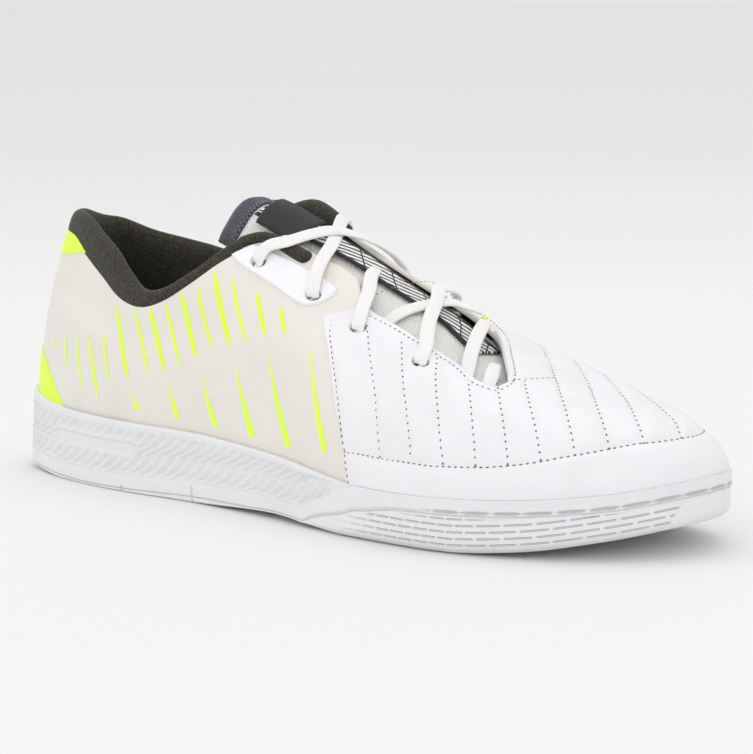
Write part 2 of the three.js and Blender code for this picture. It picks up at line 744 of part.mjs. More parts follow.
function eyestay(side) {
  const [from, to] = side < 0 ? [-REACH, -3] : [3, REACH];
  return layer(CLEAR, CLEAR + PATCH)
    .intersect(sidePrism(sideOutline(EYESTAY), from, to))
    .subtract(throatCut())
    .subtract(collarCut(-PATCH))
    .subtract(eyeletHoles);
}

function heelPiece(rows) {
  return layer(CLEAR, CLEAR + PATCH)
    .intersect(sidePrism(sideOutline(rows), -REACH, REACH))
    .subtract(collarCut(-PATCH));
}

// Where the collar line crosses a rib.
function collarTurn(place) {
  const name = place < STATIONS ? "outer" : "inner";
  const r = rib(place);
  return halve(0, 1, (turn) => {
    const p = onRib(r, turn);
    return p.z < COLLAR_HEIGHT * curve(COLLAR, name, p.x / LENGTH);
  });
}

const LINING_END = 5.05; // a station, not a length: the padded collar ends there, beside the tongue
const PAD_THIN = 0.5; // share of COLLAR_PAD that is left there

// Section of the padded collar: depth inside the upper, share of COLLAR_PAD, then the climb from the
// cut edge as a share of COLLAR_ROLL or the drop as a share of LINING_DEPTH.
const COLLAR_SECTION = table("depth climb drop", [
  [-0.04, 0, 0.04],
  [-0.1, 0.13, 0],
  [-0.07, 0.6, 0],
  [0.2, 0.9, 0],
  [0.5, 1, 0],
  [0.82, 0.85, 0],
  [1, 0.4, 0],
  [1, 0, 0.25],
  [0.8, 0, 0.6],
  [0.57, 0, 1],
  [0.14, 0, 1],
]);

function collarLining() {
  const count = 16;
  const outer = Array.from({ length: count + 1 }, (_, i) => (LINING_END * i) / count);
  const places = [...outer.slice(1).reverse().map((p) => 2 * STATIONS - p), ...outer];
  const loops = places.map((place) => {
    const thin = 1 - (1 - PAD_THIN) * smooth((station(place) - 3) / (LINING_END - 3));
    const r = rib(place);
    const turn = collarTurn(place);
    const here = onRib(r, turn);
    const speed = onRib(r, Math.min(0.99, turn + 0.01)).sub(onRib(r, turn - 0.01)).length() / 0.02;
    return COLLAR_SECTION.depth.map((inward, i) => {
      const roll = COLLAR_ROLL * curve(COLLAR, "roll", here.x / LENGTH);
      const rise = COLLAR_SECTION.climb[i] * roll - (COLLAR_SECTION.drop[i] * LINING_DEPTH * (1 + thin)) / 2;
      const at = Math.min(0.97, Math.max(0.05, turn + rise / speed));
      const depth = inward * COLLAR_PAD * (inward > 0 ? thin : 1);
      return onRib(rib(place, -depth), at);
    });
  });
  const end = flatEnd(
    COLLAR_SECTION.depth.map(
      (depth, i) =>
        new THREE.Vector2(
          -depth * COLLAR_PAD,
          COLLAR_SECTION.climb[i] * COLLAR_ROLL - COLLAR_SECTION.drop[i] * LINING_DEPTH,
        ),
    ),
  );
  const band = solid(joinLoops(loops, end, end));
  const below = (place) => deckHeight(place) - CLEAR;
  const wall = form(4 * WALL, below).subtract(form(-WALL - CLEAR, below)).subtract(collarCut(CLEAR));
  return band.subtract(wall);
}

// Half sections of the tongue: share of its reach, share of the way from ridge depth to tuck depth.
const TONGUE_SECTION = table("out drop", [
  [0.0, 0.0],
  [0.3, 0.1],
  [0.55, 0.55],
  [0.75, 0.95],
  [1.0, 1.0],
]);

const TONGUE_TOP = 0.345; // share of LENGTH
const TONGUE_LEVEL = 0.54; // share of LENGTH from which it follows the last
const TONGUE_DIVE = 0.6; // share of LENGTH from which it sinks below the front of the throat
const TONGUE_TOE = 0.8; // share of LENGTH
const TONGUE_SKEW = 0.1; // share of its reach by which the top edge leans back towards the outer side
const TONGUE_SPLIT = TONGUE_TOP + BINDING / LENGTH;
const topDrop = (along) => TONGUE_DROP * (1 - smooth((along - TONGUE_TOP) / (TONGUE_LEVEL - TONGUE_TOP)));

const toeDive = (along) => smooth((along - TONGUE_DIVE) / 0.1);
const tongueDepth = (along, drop) =>
  topDrop(along) + TONGUE_SINK + (TONGUE_TUCK - TONGUE_SINK) * Math.max(drop, toeDive(along));

// A strip of the tongue between two shares of LENGTH.
function tongueStrip(from, to, steps) {
  const half = TONGUE_SECTION.out.map((out, i) => [out, TONGUE_SECTION.drop[i]]);
  const full = [...half.slice(1).reverse().map(([out, drop]) => [-out, drop]), ...half];
  const reach = TONGUE_REACH / BALL_WIDTH;
  const loops = Array.from({ length: steps + 1 }, (_, i) => {
    const along = from + ((to - from) * i) / steps;
    const middle = curve(TONGUE, "middle", along);
    const skew = TONGUE_SKEW * (1 - smooth((along - TONGUE_TOP) / (TONGUE_DIVE - TONGUE_TOP)));
    const point = (out, depth) => off(along + skew * out * reach, middle + out * reach, -depth);
    const depth = (drop) => tongueDepth(along, drop);
    const topSide = full.map(([out, drop]) => point(out, depth(drop)));
    const lower = [...full].reverse().map(([out, drop]) => point(0.97 * out, depth(drop) + TONGUE_THICK));
    return [...topSide, ...lower];
  });
  const n = loops[0].length;
  const end = [];
  for (let i = 0; i + 1 < n / 2; i++) end.push([i, i + 1, n - 2 - i], [i, n - 2 - i, n - 1 - i]);
  return solid(joinLoops(loops, end, end));
}

// A flat band along a route of shares with its height over the last there.
function band(route, width, thick, steps) {
  const path = new THREE.CatmullRomCurve3(
    route.map(([along, wide, grow]) => off(along, wide, grow)),
    false,
    "centripetal",
  );
  const loops = Array.from({ length: steps + 1 }, (_, i) => {
    const at = path.getPoint(i / steps);
    const ahead = path.getTangent(i / steps);
    const [along, wide] = [at.x / LENGTH, at.y / BALL_WIDTH];
    const out = off(along, wide, 1).sub(above(along, wide));
    const sideways = out.cross(ahead).normalize();
    const flat = ahead.clone().cross(sideways);
    const corner = (s, t) =>
      at.clone().addScaledVector(sideways, (s * width) / 2).addScaledVector(flat, (t * thick) / 2);
    return [corner(-1, -0.4), corner(-0.85, -1), corner(0.85, -1), corner(1, -0.4), corner(1, 0.4),
      corner(0.85, 1), corner(-0.85, 1), corner(-1, 0.4)];
  });
  const end = [[0, 1, 2], [0, 2, 3], [0, 3, 4], [0, 4, 7], [4, 5, 6], [4, 6, 7]];
  return solid(joinLoops(loops, end, end));
}

const laceGrow = CLEAR + LEATHER + SOFT_CLEAR + LACE_THICK / 2;
const onTongue = (along) => SOFT_CLEAR + WEB_THICK / 2 - tongueDepth(along, 0);
const labelFrom = TONGUE_SPLIT + SOFT_CLEAR / LENGTH;
const labelTo = labelFrom + LABEL_LENGTH / LENGTH;

function webbing() {
  const from = labelTo + SOFT_CLEAR / LENGTH;
  const stops = 7;
  const route = Array.from({ length: stops }, (_, i) => {
    const along = from + ((WEB_END - from) * i) / (stops - 1);
    return [along, curve(TONGUE, "webbing", along), onTongue(along)];
  });
  return band(route, WEB_WIDTH, WEB_THICK, 12);
}

function label() {
  const route = [labelFrom, (labelFrom + labelTo) / 2, labelTo].map((along) => [
    along,
    TONGUE.webbing[0],
    onTongue(along),
  ]);
  return band(route, LABEL_WIDTH, WEB_THICK, 3);
}

const shoe = new THREE.Group();
const mid = EVEN.map((place) => edge(place).y);
shoe.position.set(-LENGTH / 2, -(Math.min(...mid) + Math.max(...mid)) / 2, 0);

function add(name, made, colour, roughness) {
  const material = new THREE.MeshStandardMaterial({ color: colour, roughness, metalness: 0 });
  const mesh = new THREE.Mesh(geometryOf(made), material);
  mesh.name = name;
  shoe.add(mesh);
}

add("outsole", outsole(), COLOURS.outsole, 0.5);
add("midsole", midsole(), COLOURS.midsole, 0.55);
add("insole", insole(), COLOURS.insole, 0.95);
add("upper", upper(), COLOURS.upper, 0.6);
add("vamp", vamp(), COLOURS.leather, 0.5);
add("eyestay_outer", eyestay(-1), COLOURS.patch, 0.45);
add("eyestay_inner", eyestay(1), COLOURS.patch, 0.45);
add("heel_tab", heelPiece(HEEL_TAB), COLOURS.neon, 0.5);
add("heel_counter", heelPiece(HEEL_COUNTER), COLOURS.neon, 0.5);
add("collar_lining", collarLining(), COLOURS.lining, 0.95);
add("tongue", tongueStrip(TONGUE_SPLIT, TONGUE_TOE, 12), COLOURS.tongue, 0.9);
add(
  "tongue_binding",
  tongueStrip(TONGUE_TOP, TONGUE_SPLIT - SOFT_CLEAR / LENGTH, 2),
  COLOURS.knit,
  0.9,
);
add("tongue_webbing", webbing(), COLOURS.webbing, 0.8);
add("tongue_label", label(), COLOURS.webbing, 0.6);
for (const [name, routes] of Object.entries(LACES)) {
  const bars = routes.map((route) => {
    const raised = route.map(([along, wide, dip]) => [along, wide, laceGrow - dip * LACE_SAG]);
    return band(raised, LACE_WIDTH, LACE_THICK, 7);
  });
  add(name, join(bars), COLOURS.lace, 0.85);
}

export default shoe;
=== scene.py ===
"""Looks of an indoor soccer shoe for the right foot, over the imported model.

Lengths are millimetres in the shoe's own frame (heel at x = 0, toe along +X, outer side -Y,
floor z = 0) until metres() moves them into the row's frame.
"""

import math

import bpy
import numpy as np
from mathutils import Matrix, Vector
from mathutils.bvhtree import BVHTree
from mathutils.kdtree import KDTree


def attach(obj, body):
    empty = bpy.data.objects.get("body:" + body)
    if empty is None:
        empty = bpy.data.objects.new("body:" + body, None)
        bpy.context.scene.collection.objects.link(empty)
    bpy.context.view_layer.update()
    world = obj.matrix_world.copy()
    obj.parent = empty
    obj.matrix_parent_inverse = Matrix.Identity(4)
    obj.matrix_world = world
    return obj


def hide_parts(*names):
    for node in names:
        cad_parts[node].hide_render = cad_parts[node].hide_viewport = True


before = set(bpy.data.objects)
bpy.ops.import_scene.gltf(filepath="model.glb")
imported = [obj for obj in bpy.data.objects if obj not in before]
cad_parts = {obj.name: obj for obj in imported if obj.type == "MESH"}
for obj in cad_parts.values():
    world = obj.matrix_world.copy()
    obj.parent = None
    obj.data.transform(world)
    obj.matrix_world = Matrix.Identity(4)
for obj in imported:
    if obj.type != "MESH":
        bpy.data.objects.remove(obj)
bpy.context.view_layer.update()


# Sizes, as in the part's source

LENGTH = 290
BALL_WIDTH = 98
HEEL_WIDTH = 72
INSTEP_HEIGHT = 105
COLLAR_HEIGHT = 0.876 * INSTEP_HEIGHT
SOLE_HEIGHT = 31.5
TOE_SPRING = 10.5
LIP = 2.2
LIP_DEPTH = 5
STEP_DROP = 5.7
STEP_INSET = 0.9
STEP_HEIGHT = 0.6
CUP_START = 147
CUP_SLOPE = 0.4
CUP_FOOT = 0.1
TREAD_ROUND = 4
INSOLE = 3.5
UPPER_INSET = 2.5
HEEL_TUCK = 1.6
TUCK_END = 3
WALL = 2
LEATHER = 1.2
PATCH = 0.8
COLLAR_PAD = 7
COLLAR_ROLL = 11.5
LINING_DEPTH = 26
TONGUE_THICK = 4
TONGUE_SINK = 1.4
TONGUE_TUCK = 4.4
TONGUE_DROP = 5.6
TONGUE_REACH = 24
BINDING = 9
WEB_WIDTH = 12
WEB_THICK = 1
LACE_THICK = 1.3
LACE_SAG = 5
CLEAR = 0.3
SOFT_CLEAR = 0.6
FOOT_LAP = 1
STATIONS = 12
AROUND = 2 * STATIONS
RIDGE_HEEL, RIDGE_TOE = 0.16, 0.82
WAIST_START, WAIST_LENGTH = 0.25, 0.4
THROAT_BASE = 0.42
LINING_END = 5.05
PAD_THIN = 0.5
TONGUE_TOP, TONGUE_LEVEL, TONGUE_DIVE, TONGUE_TOE = 0.345, 0.54, 0.6, 0.8
TONGUE_SKEW = 0.1
TONGUE_SPLIT = TONGUE_TOP + BINDING / LENGTH
WEB_END = 0.7


def table(names, rows):
    """A table's rows as one array for each named column."""
    values = np.array(rows, float)
    return {name: values[:, i] for i, name in enumerate(names.split())}


LAST = table("outer inner rim rubber floor top ridge round crown swell", [
    (0.0, 0.0, 1.0, 0.26, 0.48, 1.16, 0.0, 2.26, 1.5, 0),
    (-0.28, 0.27, 0.965, 0.26, 0.3, 1.16, 0.0, 2.27, 1.53, 0),
    (-0.412, 0.397, 0.885, 0.24, 0.09, 1.15, 0.005, 2.3, 1.74, 0),
    (-0.495, 0.47, 0.83, 0.205, -0.05, 1.125, 0.02, 2.37, 2.02, 0.06),
    (-0.528, 0.446, 0.805, 0.215, -0.08, 1.085, 0.04, 2.39, 2.12, 0.22),
    (-0.489, 0.355, 0.785, 0.25, 0.03, 1.0, 0.06, 2.3, 2.1, 0.32),
    (-0.466, 0.343, 0.705, 0.25, 0.21, 0.864, 0.065, 2.21, 2.01, 0.22),
    (-0.504, 0.422, 0.59, 0.2, -0.03, 0.738, 0.058, 2.12, 1.96, 0.06),
    (-0.507, 0.477, 0.59, 0.2, -0.03, 0.632, 0.049, 2.08, 1.92, 0),
    (-0.414, 0.463, 0.63, 0.2, 0.19, 0.561, 0.045, 2.02, 1.88, 0),
    (-0.256, 0.378, 0.705, 0.2, 0.57, 0.512, 0.046, 1.96, 1.815, 0),
    (-0.076, 0.245, 0.8, 0.2, 0.89, 0.483, 0.048, 1.91, 1.78, 0),
    (0.084, 0.084, 0.84, 0.2, 1.0, 0.473, 0.05, 1.89, 1.86, 0),
])
COLLAR = table("along outer inner roll", [
    (-0.05, 0.98, 0.98, 0.8), (0.04, 0.98, 0.95, 0.82), (0.1, 0.965, 0.865, 0.88),
    (0.14, 0.905, 0.825, 0.98), (0.18, 0.835, 0.8, 1.0), (0.215, 0.765, 0.785, 0.88),
    (0.25, 0.737, 0.775, 0.57), (0.285, 0.765, 0.79, 0.45), (0.325, 0.84, 0.845, 0.5),
    (0.365, 0.93, 0.925, 0.64), (0.4, 0.99, 1.0, 0.62), (0.44, 1.03, 1.05, 0.6),
])
THROAT = [
    (0.3, -0.07), (0.36, -0.1), (0.41, -0.125), (0.47, -0.125), (0.532, -0.105), (0.556, -0.158),
    (0.575, -0.198), (0.63, -0.204), (0.71, -0.22), (0.753, -0.248), (0.772, -0.235),
    (0.776, -0.195), (0.735, -0.04), (0.69, 0.1), (0.65, 0.16), (0.6, 0.185), (0.52, 0.155),
    (0.44, 0.14), (0.39, 0.135), (0.3, 0.12),
]
LEATHER_OUTER = [
    (0.63, 0.1), (0.62, 0.23), (0.61, 0.325), (0.595, 0.39), (0.578, 0.478), (0.558, 0.562),
    (0.541, 0.62), (0.531, 0.662), (0.577, 0.69), (0.577, 1.1),
]
LEATHER_INNER = [(0.65, 0.1), (0.655, 0.3), (0.665, 0.5), (0.68, 0.62), (0.68, 1.1)]
LEATHER_FRONT = [(1.5, 1.1), (1.5, 0.1)]
EYESTAY = [
    (0.371, 0.84), (0.384, 0.81), (0.44, 0.748), (0.497, 0.688), (0.512, 0.691), (0.528, 0.715),
    (0.53, 0.735), (0.52, 0.75), (0.46, 0.812), (0.407, 0.857), (0.386, 0.872), (0.376, 0.862),
]
HEEL_TAB = [(-0.1, 0.755), (0.085, 0.77), (0.14, 0.79), (0.14, 0.95), (-0.1, 0.95)]
HEEL_COUNTER = [
    (-0.1, 0.2), (0.13, 0.2), (0.117, 0.245), (0.103, 0.28), (0.083, 0.335), (0.064, 0.389),
    (0.037, 0.434), (0.01, 0.47), (-0.1, 0.49),
]
EYELETS = [
    (0.416, -0.224), (0.506, -0.237), (0.585, -0.276), (0.68, -0.29),
    (0.43, 0.215), (0.52, 0.225), (0.59, 0.255), (0.668, 0.25),
]
TONGUE = table("along middle", [
    (0.34, 0.03), (0.435, 0.03), (0.5, 0.025), (0.56, 0.015), (0.62, 0.0), (0.675, -0.015), (0.7, -0.03),
    (0.81, -0.03),
])
STRAP = table("along middle", [  # the striped webbing as the photograph shows it
    (0.34, -0.055), (0.435, -0.03), (0.5, 0.0), (0.56, 0.01), (0.6, 0.025), (0.635, 0.05), (0.675, 0.04),
    (0.71, 0.01),
])
TONGUE_SECTION = table("out drop", [(0.0, 0.0), (0.3, 0.1), (0.55, 0.55), (0.75, 0.95), (1.0, 1.0)])
COLLAR_SECTION = np.array([
    (-0.04, 0, 0.04), (-0.1, 0.13, 0), (-0.07, 0.6, 0), (0.2, 0.9, 0), (0.5, 1, 0), (0.82, 0.85, 0),
    (1, 0.4, 0), (1, 0, 0.25), (0.8, 0, 0.6), (0.57, 0, 1), (0.14, 0, 1),
])


# Form of the last and the sole


def smooth(t):
    c = np.clip(t, 0, 1)
    return c * c * (3 - 2 * c)


def spline(at, t):
    i = np.floor(t).astype(int)
    f = t - i
    a, b, c, d = at(i - 1), at(i), at(i + 1), at(i + 2)
    return b + 0.5 * f * (c - a + f * (2 * a - 5 * b + 4 * c - d + f * (3 * (b - c) + d - a)))


def column(name, k):
    return spline(lambda i: LAST[name][STATIONS - abs(STATIONS - abs(i))], np.asarray(k, float))


def curve(rows, name, along):
    x, y = rows["along" if "along" in rows else "out"], rows[name]
    slopes = np.gradient(y, np.arange(len(x))) / np.gradient(x, np.arange(len(x)))
    i = np.clip(np.searchsorted(x, along, side="left") - 1, 0, len(x) - 2)
    span, rise = x[i + 1] - x[i], y[i + 1] - y[i]
    t = np.clip((along - x[i]) / span, 0, 1)
    bend = (1 - t) * (slopes[i] * span - rise) + t * (rise - slopes[i + 1] * span)
    return y[i] + rise * t + t * (1 - t) * bend


def station(place):
    """Station of a place. Places under 0 run along the inner side, as those over 12 do."""
    return abs(STATIONS - abs(STATIONS - place))


def share(place):
    return (1 - np.cos(np.pi * station(place) / STATIONS)) / 2


def edge(place, inset=0.0):
    """Edge of the sole in plan at a place, moved in by an inset."""
    sides = np.concatenate([LAST["outer"], LAST["inner"][STATIONS - 1:0:-1]])

    def point(p):
        s = (1 - np.cos(np.pi * p / STATIONS)) / 2
        width = HEEL_WIDTH + (BALL_WIDTH - HEEL_WIDTH) * smooth((s - WAIST_START) / WAIST_LENGTH)
        return np.stack([s * LENGTH, width * spline(lambda i: sides[i % AROUND], p)], -1)

    place, inset = np.broadcast_arrays(np.asarray(place, float), inset)
    along = point(place + 1e-3) - point(place - 1e-3)
    along /= np.linalg.norm(along, axis=-1, keepdims=True)
    return point(place) + inset[..., None] * np.stack([-along[..., 1], along[..., 0]], -1)


def rim_height(p):
    return SOLE_HEIGHT * column("rim", station(p))


def floor_height(p):
    return np.maximum(0, TOE_SPRING * column("floor", station(p)))


def deck_height(p):
    return rim_height(p) - LIP_DEPTH


def rubber_top(p):
    rise = SOLE_HEIGHT * CUP_FOOT + (share(p) * LENGTH - CUP_START) * CUP_SLOPE
    return np.minimum(np.maximum(SOLE_HEIGHT * column("rubber", station(p)), rise), rim_height(p))


def tuck(p):
    return HEEL_TUCK * (1 - smooth(station(p) / TUCK_END))


def ridge_along(p):
    return LENGTH * (RIDGE_HEEL + (RIDGE_TOE - RIDGE_HEEL) * share(p))


def ridge_height(p):
    return INSTEP_HEIGHT * column("top", station(p))


def skin(place, turn, grow=0.0):
    """Points of the last, grown outwards. Below turn 0 they go straight down to the deck."""
    place, turn, grow = np.broadcast_arrays(np.asarray(place, float), np.asarray(turn, float), grow)
    k = station(place)
    foot = edge(place, UPPER_INSET + tuck(place) - grow)
    ridge = np.stack([ridge_along(place), BALL_WIDTH * column("ridge", k)], -1)
    low, high = rim_height(place) - FOOT_LAP, ridge_height(place) + grow
    near = np.clip(k, 0.3, STATIONS - 0.3)
    slope = (ridge_height(near + 0.2) - ridge_height(near - 0.2)) / (
        ridge_along(near + 0.2) - ridge_along(near - 0.2))
    a = np.clip(turn, 0, 1) * np.pi / 2
    out = np.where(turn >= 1, 0, np.maximum(np.cos(a), 0) ** (2 / column("round", k)))
    up = np.maximum(np.sin(a), 0) ** (2 / column("crown", k))
    swell = np.where((place > STATIONS) | (place < 0), column("swell", k), 0)
    plan = ridge + (foot - ridge) * (out * (1 + swell * np.sin(2 * a)))[..., None]
    z = low + (high - low) * up + slope * (plan[..., 0] - ridge[..., 0]) * (1 - out) ** 2
    z = z + np.minimum(turn, 0) * (low - deck_height(place) - CLEAR)
    return np.concatenate([plan, z[..., None]], -1)


def unit(v):
    return v / np.maximum(np.linalg.norm(v, axis=-1, keepdims=True), 1e-12)


def skin_normal(place, turn):
    place, turn = np.broadcast_arrays(np.asarray(place, float), np.asarray(turn, float))
    turn = np.clip(turn, 0.004, 0.996)
    round_it = skin(place + 2e-3, turn) - skin(place - 2e-3, turn)
    up_it = skin(place, turn + 2e-3) - skin(place, turn - 2e-3)
    return unit(np.cross(round_it, up_it))


def on_skin(spots, grow=0.0):
    """Points of the last at spots, which are rows of a place and a turn."""
    return skin(spots[:, 0], spots[:, 1], grow)


def normals_at(spots):
    return skin_normal(spots[:, 0], spots[:, 1])


def raised(spots, height):
    """Points at a height over the last, square off it."""
    return on_skin(spots) + np.broadcast_to(height, len(spots))[:, None] * normals_at(spots)


def length_along(points):
    """Length of a path from its start to each of its points."""
    return np.concatenate([[0], np.cumsum(np.linalg.norm(np.diff(points, axis=0), axis=1))])


def ways_along(points):
    return unit(np.gradient(points, axis=0))


def rounding(t):
    """Height of a quarter round, from 0 at its edge to 1."""
    return np.sqrt(1 - (1 - t) ** 2)


# Camera, as the photograph was taken

AZIMUTH, ELEVATION = math.radians(39.15), math.radians(8.85)
DISTANCE = 970.7
TARGET = np.array([155.3, 0.0, 45.5])
FOCAL = 2800  # pixels
MIDDLE = (376.5, 377.0)
FRAME_WIDTH = 753
SENSOR = 36  # millimetres
BACK = np.array([
    math.sin(AZIMUTH) * math.cos(ELEVATION), -math.cos(AZIMUTH) * math.cos(ELEVATION), math.sin(ELEVATION)])
RIGHT = np.array([math.cos(AZIMUTH), math.sin(AZIMUTH), 0.0])
UP = np.cross(BACK, RIGHT)
EYE = TARGET + DISTANCE * BACK

EVEN = np.arange(52) * AROUND / 52
OFFSET = np.array([-LENGTH / 2, -(edge(EVEN)[:, 1].min() + edge(EVEN)[:, 1].max()) / 2, 0.0])


def metres(points):
    return (np.asarray(points, float) + OFFSET) / 1000


def sight(u, v):
    """Way from the camera through a pixel of the photograph."""
    return Vector(unit(-BACK + RIGHT * (u - MIDDLE[0]) / FOCAL - UP * (v - MIDDLE[1]) / FOCAL))


def lattice(places, turns):
    """A grid over the last: its places and turns, and its triangles."""
    p, t = np.meshgrid(places, turns, indexing="ij")
    n = len(turns)
    i, j = np.meshgrid(np.arange(len(places) - 1), np.arange(n - 1), indexing="ij")
    a = (i * n + j).ravel()
    b, c, d = a + n, a + n + 1, a + 1
    tris = np.concatenate([np.stack([a, b, c], -1), np.stack([a, c, d], -1)])
    return np.stack([p.ravel(), t.ravel()], -1), tris


class Finder:
    """Finds places on a sheet by a line of sight, by a point above, or by the nearest point."""

    def __init__(self, spots, tris, points):
        self.spots, self.tris, self.points = spots, tris, points
        self.tree = BVHTree.FromPolygons(points.tolist(), tris.tolist())

    def spot(self, hit):
        where, _, index, _ = hit
        if index is None:
            return None
        tri = self.tris[index]
        a, b, c = self.points[tri]
        v0, v1, v2 = b - a, c - a, np.array(where) - a
        d00, d01, d11, d20, d21 = v0 @ v0, v0 @ v1, v1 @ v1, v2 @ v0, v2 @ v1
        det = d00 * d11 - d01 * d01
        v, w = (d11 * d20 - d01 * d21) / det, (d00 * d21 - d01 * d20) / det
        return (1 - v - w) * self.spots[tri[0]] + v * self.spots[tri[1]] + w * self.spots[tri[2]]

    def seen(self, u, v):
        return self.spot(self.tree.ray_cast(Vector(EYE), sight(u, v)))

    def under(self, x, y):
        return self.spot(self.tree.ray_cast(Vector((x, y, 400)), Vector((0, 0, -1))))

    def near(self, point):
        return self.spot(self.tree.find_nearest(Vector(point)))


spots, tris = lattice(np.linspace(0, AROUND, 481), np.linspace(0, 1, 91))
ON_LAST = Finder(spots, tris, on_skin(spots))


def above(along, across):
    """Places and turns of the last under spots given as shares of its length and width."""
    found = [ON_LAST.under(a * LENGTH, c * BALL_WIDTH) for a, c in zip(np.ravel(along), np.ravel(across))]
    return np.array(found)


def off(along, across, depth):
    """Points square off the last above spots in plan."""
    along, across, depth = np.broadcast_arrays(along, across, depth)
    at = above(along, across)
    return raised(at, depth.ravel()).reshape(along.shape + (3,))


def through(points, count, closed=False):
    """Evenly spaced points on a smooth curve through the given ones."""
    p = np.asarray(points, float)
    if closed:
        p = np.concatenate([p[-1:], p, p[:2]])
    else:
        p = np.concatenate([[2 * p[0] - p[1]], p, [2 * p[-1] - p[-2]]])
    made = []
    for a, b, c, d in zip(p, p[1:], p[2:], p[3:]):
        t0 = 0.0
        t1 = t0 + max(np.linalg.norm(b - a) ** 0.5, 1e-6)
        t2 = t1 + max(np.linalg.norm(c - b) ** 0.5, 1e-6)
        t3 = t2 + max(np.linalg.norm(d - c) ** 0.5, 1e-6)
        t = np.linspace(t1, t2, 24, endpoint=False)[:, None]
        ab = (t1 - t) / (t1 - t0) * a + (t - t0) / (t1 - t0) * b
        bc = (t2 - t) / (t2 - t1) * b + (t - t1) / (t2 - t1) * c
        cd = (t3 - t) / (t3 - t2) * c + (t - t2) / (t3 - t2) * d
        abc = (t2 - t) / (t2 - t0) * ab + (t - t0) / (t2 - t0) * bc
        bcd = (t3 - t) / (t3 - t1) * bc + (t - t1) / (t3 - t1) * cd
        made.append((t2 - t) / (t2 - t1) * abc + (t - t1) / (t2 - t1) * bcd)
    dense = np.concatenate(made + [p[-2:-1] if not closed else made[0][:1]])
    if not count:
        return dense
    run = length_along(dense)
    even = np.linspace(0, run[-1], count)
    return np.stack([np.interp(even, run, dense[:, i]) for i in range(dense.shape[1])], -1)


# Cutting sheets to their outlines


def from_outline(points, outline):
    """Distance in the plane to a closed outline, negative inside it."""
    a = np.asarray(outline, float)
    b = np.roll(a, -1, axis=0)
    best = np.full(len(points), np.inf)
    inside = np.zeros(len(points), bool)
    for (ax, ay), (bx, by) in zip(a, b):
        dx, dy = bx - ax, by - ay
        t = ((points[:, 0] - ax) * dx + (points[:, 1] - ay) * dy) / max(dx * dx + dy * dy, 1e-12)
        t = np.clip(t, 0, 1)
        best = np.minimum(best, np.hypot(points[:, 0] - ax - t * dx, points[:, 1] - ay - t * dy))
        if ay != by:
            crosses = (ay > points[:, 1]) != (by > points[:, 1])
            inside ^= crosses & (points[:, 0] < (bx - ax) * (points[:, 1] - ay) / (by - ay) + ax)
    return np.where(inside, -best, best)


def to_line(points, line):
    """Distance in space to a line of points."""
    best = np.full(len(points), np.inf)
    for a, b in zip(line[:-1], line[1:]):
        d = b - a
        t = np.clip((points - a) @ d / max(d @ d, 1e-12), 0, 1)
        best = np.minimum(best, np.linalg.norm(points - a - t[:, None] * d, axis=1))
    return best


def one_side(a, b):
    """Two spots as places of one side. A spot on the ridge has one on either side."""
    if (a[0] - STATIONS) * (b[0] - STATIONS) < 0 and max(a[1], b[1]) > 0.9999:
        mirror = np.array([AROUND, 0.0])
        if a[1] > b[1]:
            a = mirror + a * [-1, 1]
        else:
            b = mirror + b * [-1, 1]
    return a, b


def split(spots, tris, value):
    """Cuts triangles where a value changes sign. Gives spots, triangles and the values there."""
    value = np.where(np.abs(value) < 1e-7, 1e-7, value)
    up = value > 0
    mixed = up[tris].any(1) & ~up[tris].all(1)
    made, added, out = {}, [], []

    def cut(a, b):
        key = (min(a, b), max(a, b))
        if key not in made:
            t = value[a] / (value[a] - value[b])
            made[key] = len(spots) + len(added)
            one, other = one_side(spots[a], spots[b])
            added.append(one + (other - one) * t)
        return made[key]

    for tri in tris[mixed]:
        for r in range(3):
            a, b, c = tri[r], tri[(r + 1) % 3], tri[(r + 2) % 3]
            if up[a] != up[b] and up[a] != up[c]:
                break
        ab, ac = cut(a, b), cut(a, c)
        out += [(a, ab, ac), (ab, b, c), (ab, c, ac)]
    if added:
        spots = np.concatenate([spots, added])
        tris = np.concatenate([tris[~mixed], out])
        value = np.concatenate([value, np.zeros(len(added))])
    return spots, tris, value


def keep(spots, tris, field):
    """The part of a sheet where a field of its points is above 0."""
    spots, tris, value = split(spots, tris, field(on_skin(spots)))
    tris = tris[value[tris].sum(1) > 0]
    used, tris = np.unique(tris, return_inverse=True)
    return spots[used], tris.reshape(-1, 3)


def cut_sheet(places, turns, fields):
    """A grid over the last, cut to where all the fields are above 0."""
    spots, tris = lattice(places, turns)
    for field in fields:
        spots, tris = keep(spots, tris, field)
    return weld(spots, tris)


def weld(spots, tris):
    """Joins corners that lie at the same point, as along the ridge."""
    key = np.round(on_skin(spots), 3)
    _, first, back = np.unique(key, axis=0, return_index=True, return_inverse=True)
    tris = back.ravel()[tris]
    good = (tris[:, 0] != tris[:, 1]) & (tris[:, 1] != tris[:, 2]) & (tris[:, 0] != tris[:, 2])
    return spots[first], tris[good]


def border(tris):
    """Edges that only one triangle has, in that triangle's direction."""
    edges = np.concatenate([tris[:, [0, 1]], tris[:, [1, 2]], tris[:, [2, 0]]])
    twins = {(b, a) for a, b in edges.tolist()}
    return np.array([e for e in edges.tolist() if tuple(e) not in twins])


def from_border(spots, tris, low):
    """Distance of each corner from the cut edges above a turn."""
    points = on_skin(spots)
    edges = border(tris)
    edges = edges[(spots[edges[:, 0], 1] > low) | (spots[edges[:, 1], 1] > low)]
    samples = []
    for a, b in edges:
        n = max(1, int(np.linalg.norm(points[b] - points[a]) / 0.3))
        samples += [points[a] + (points[b] - points[a]) * i / n for i in range(n + 1)]
    tree = KDTree(len(samples))
    for i, p in enumerate(samples):
        tree.insert(Vector(p), i)
    tree.balance()
    return np.array([tree.find(Vector(p))[2] for p in points])


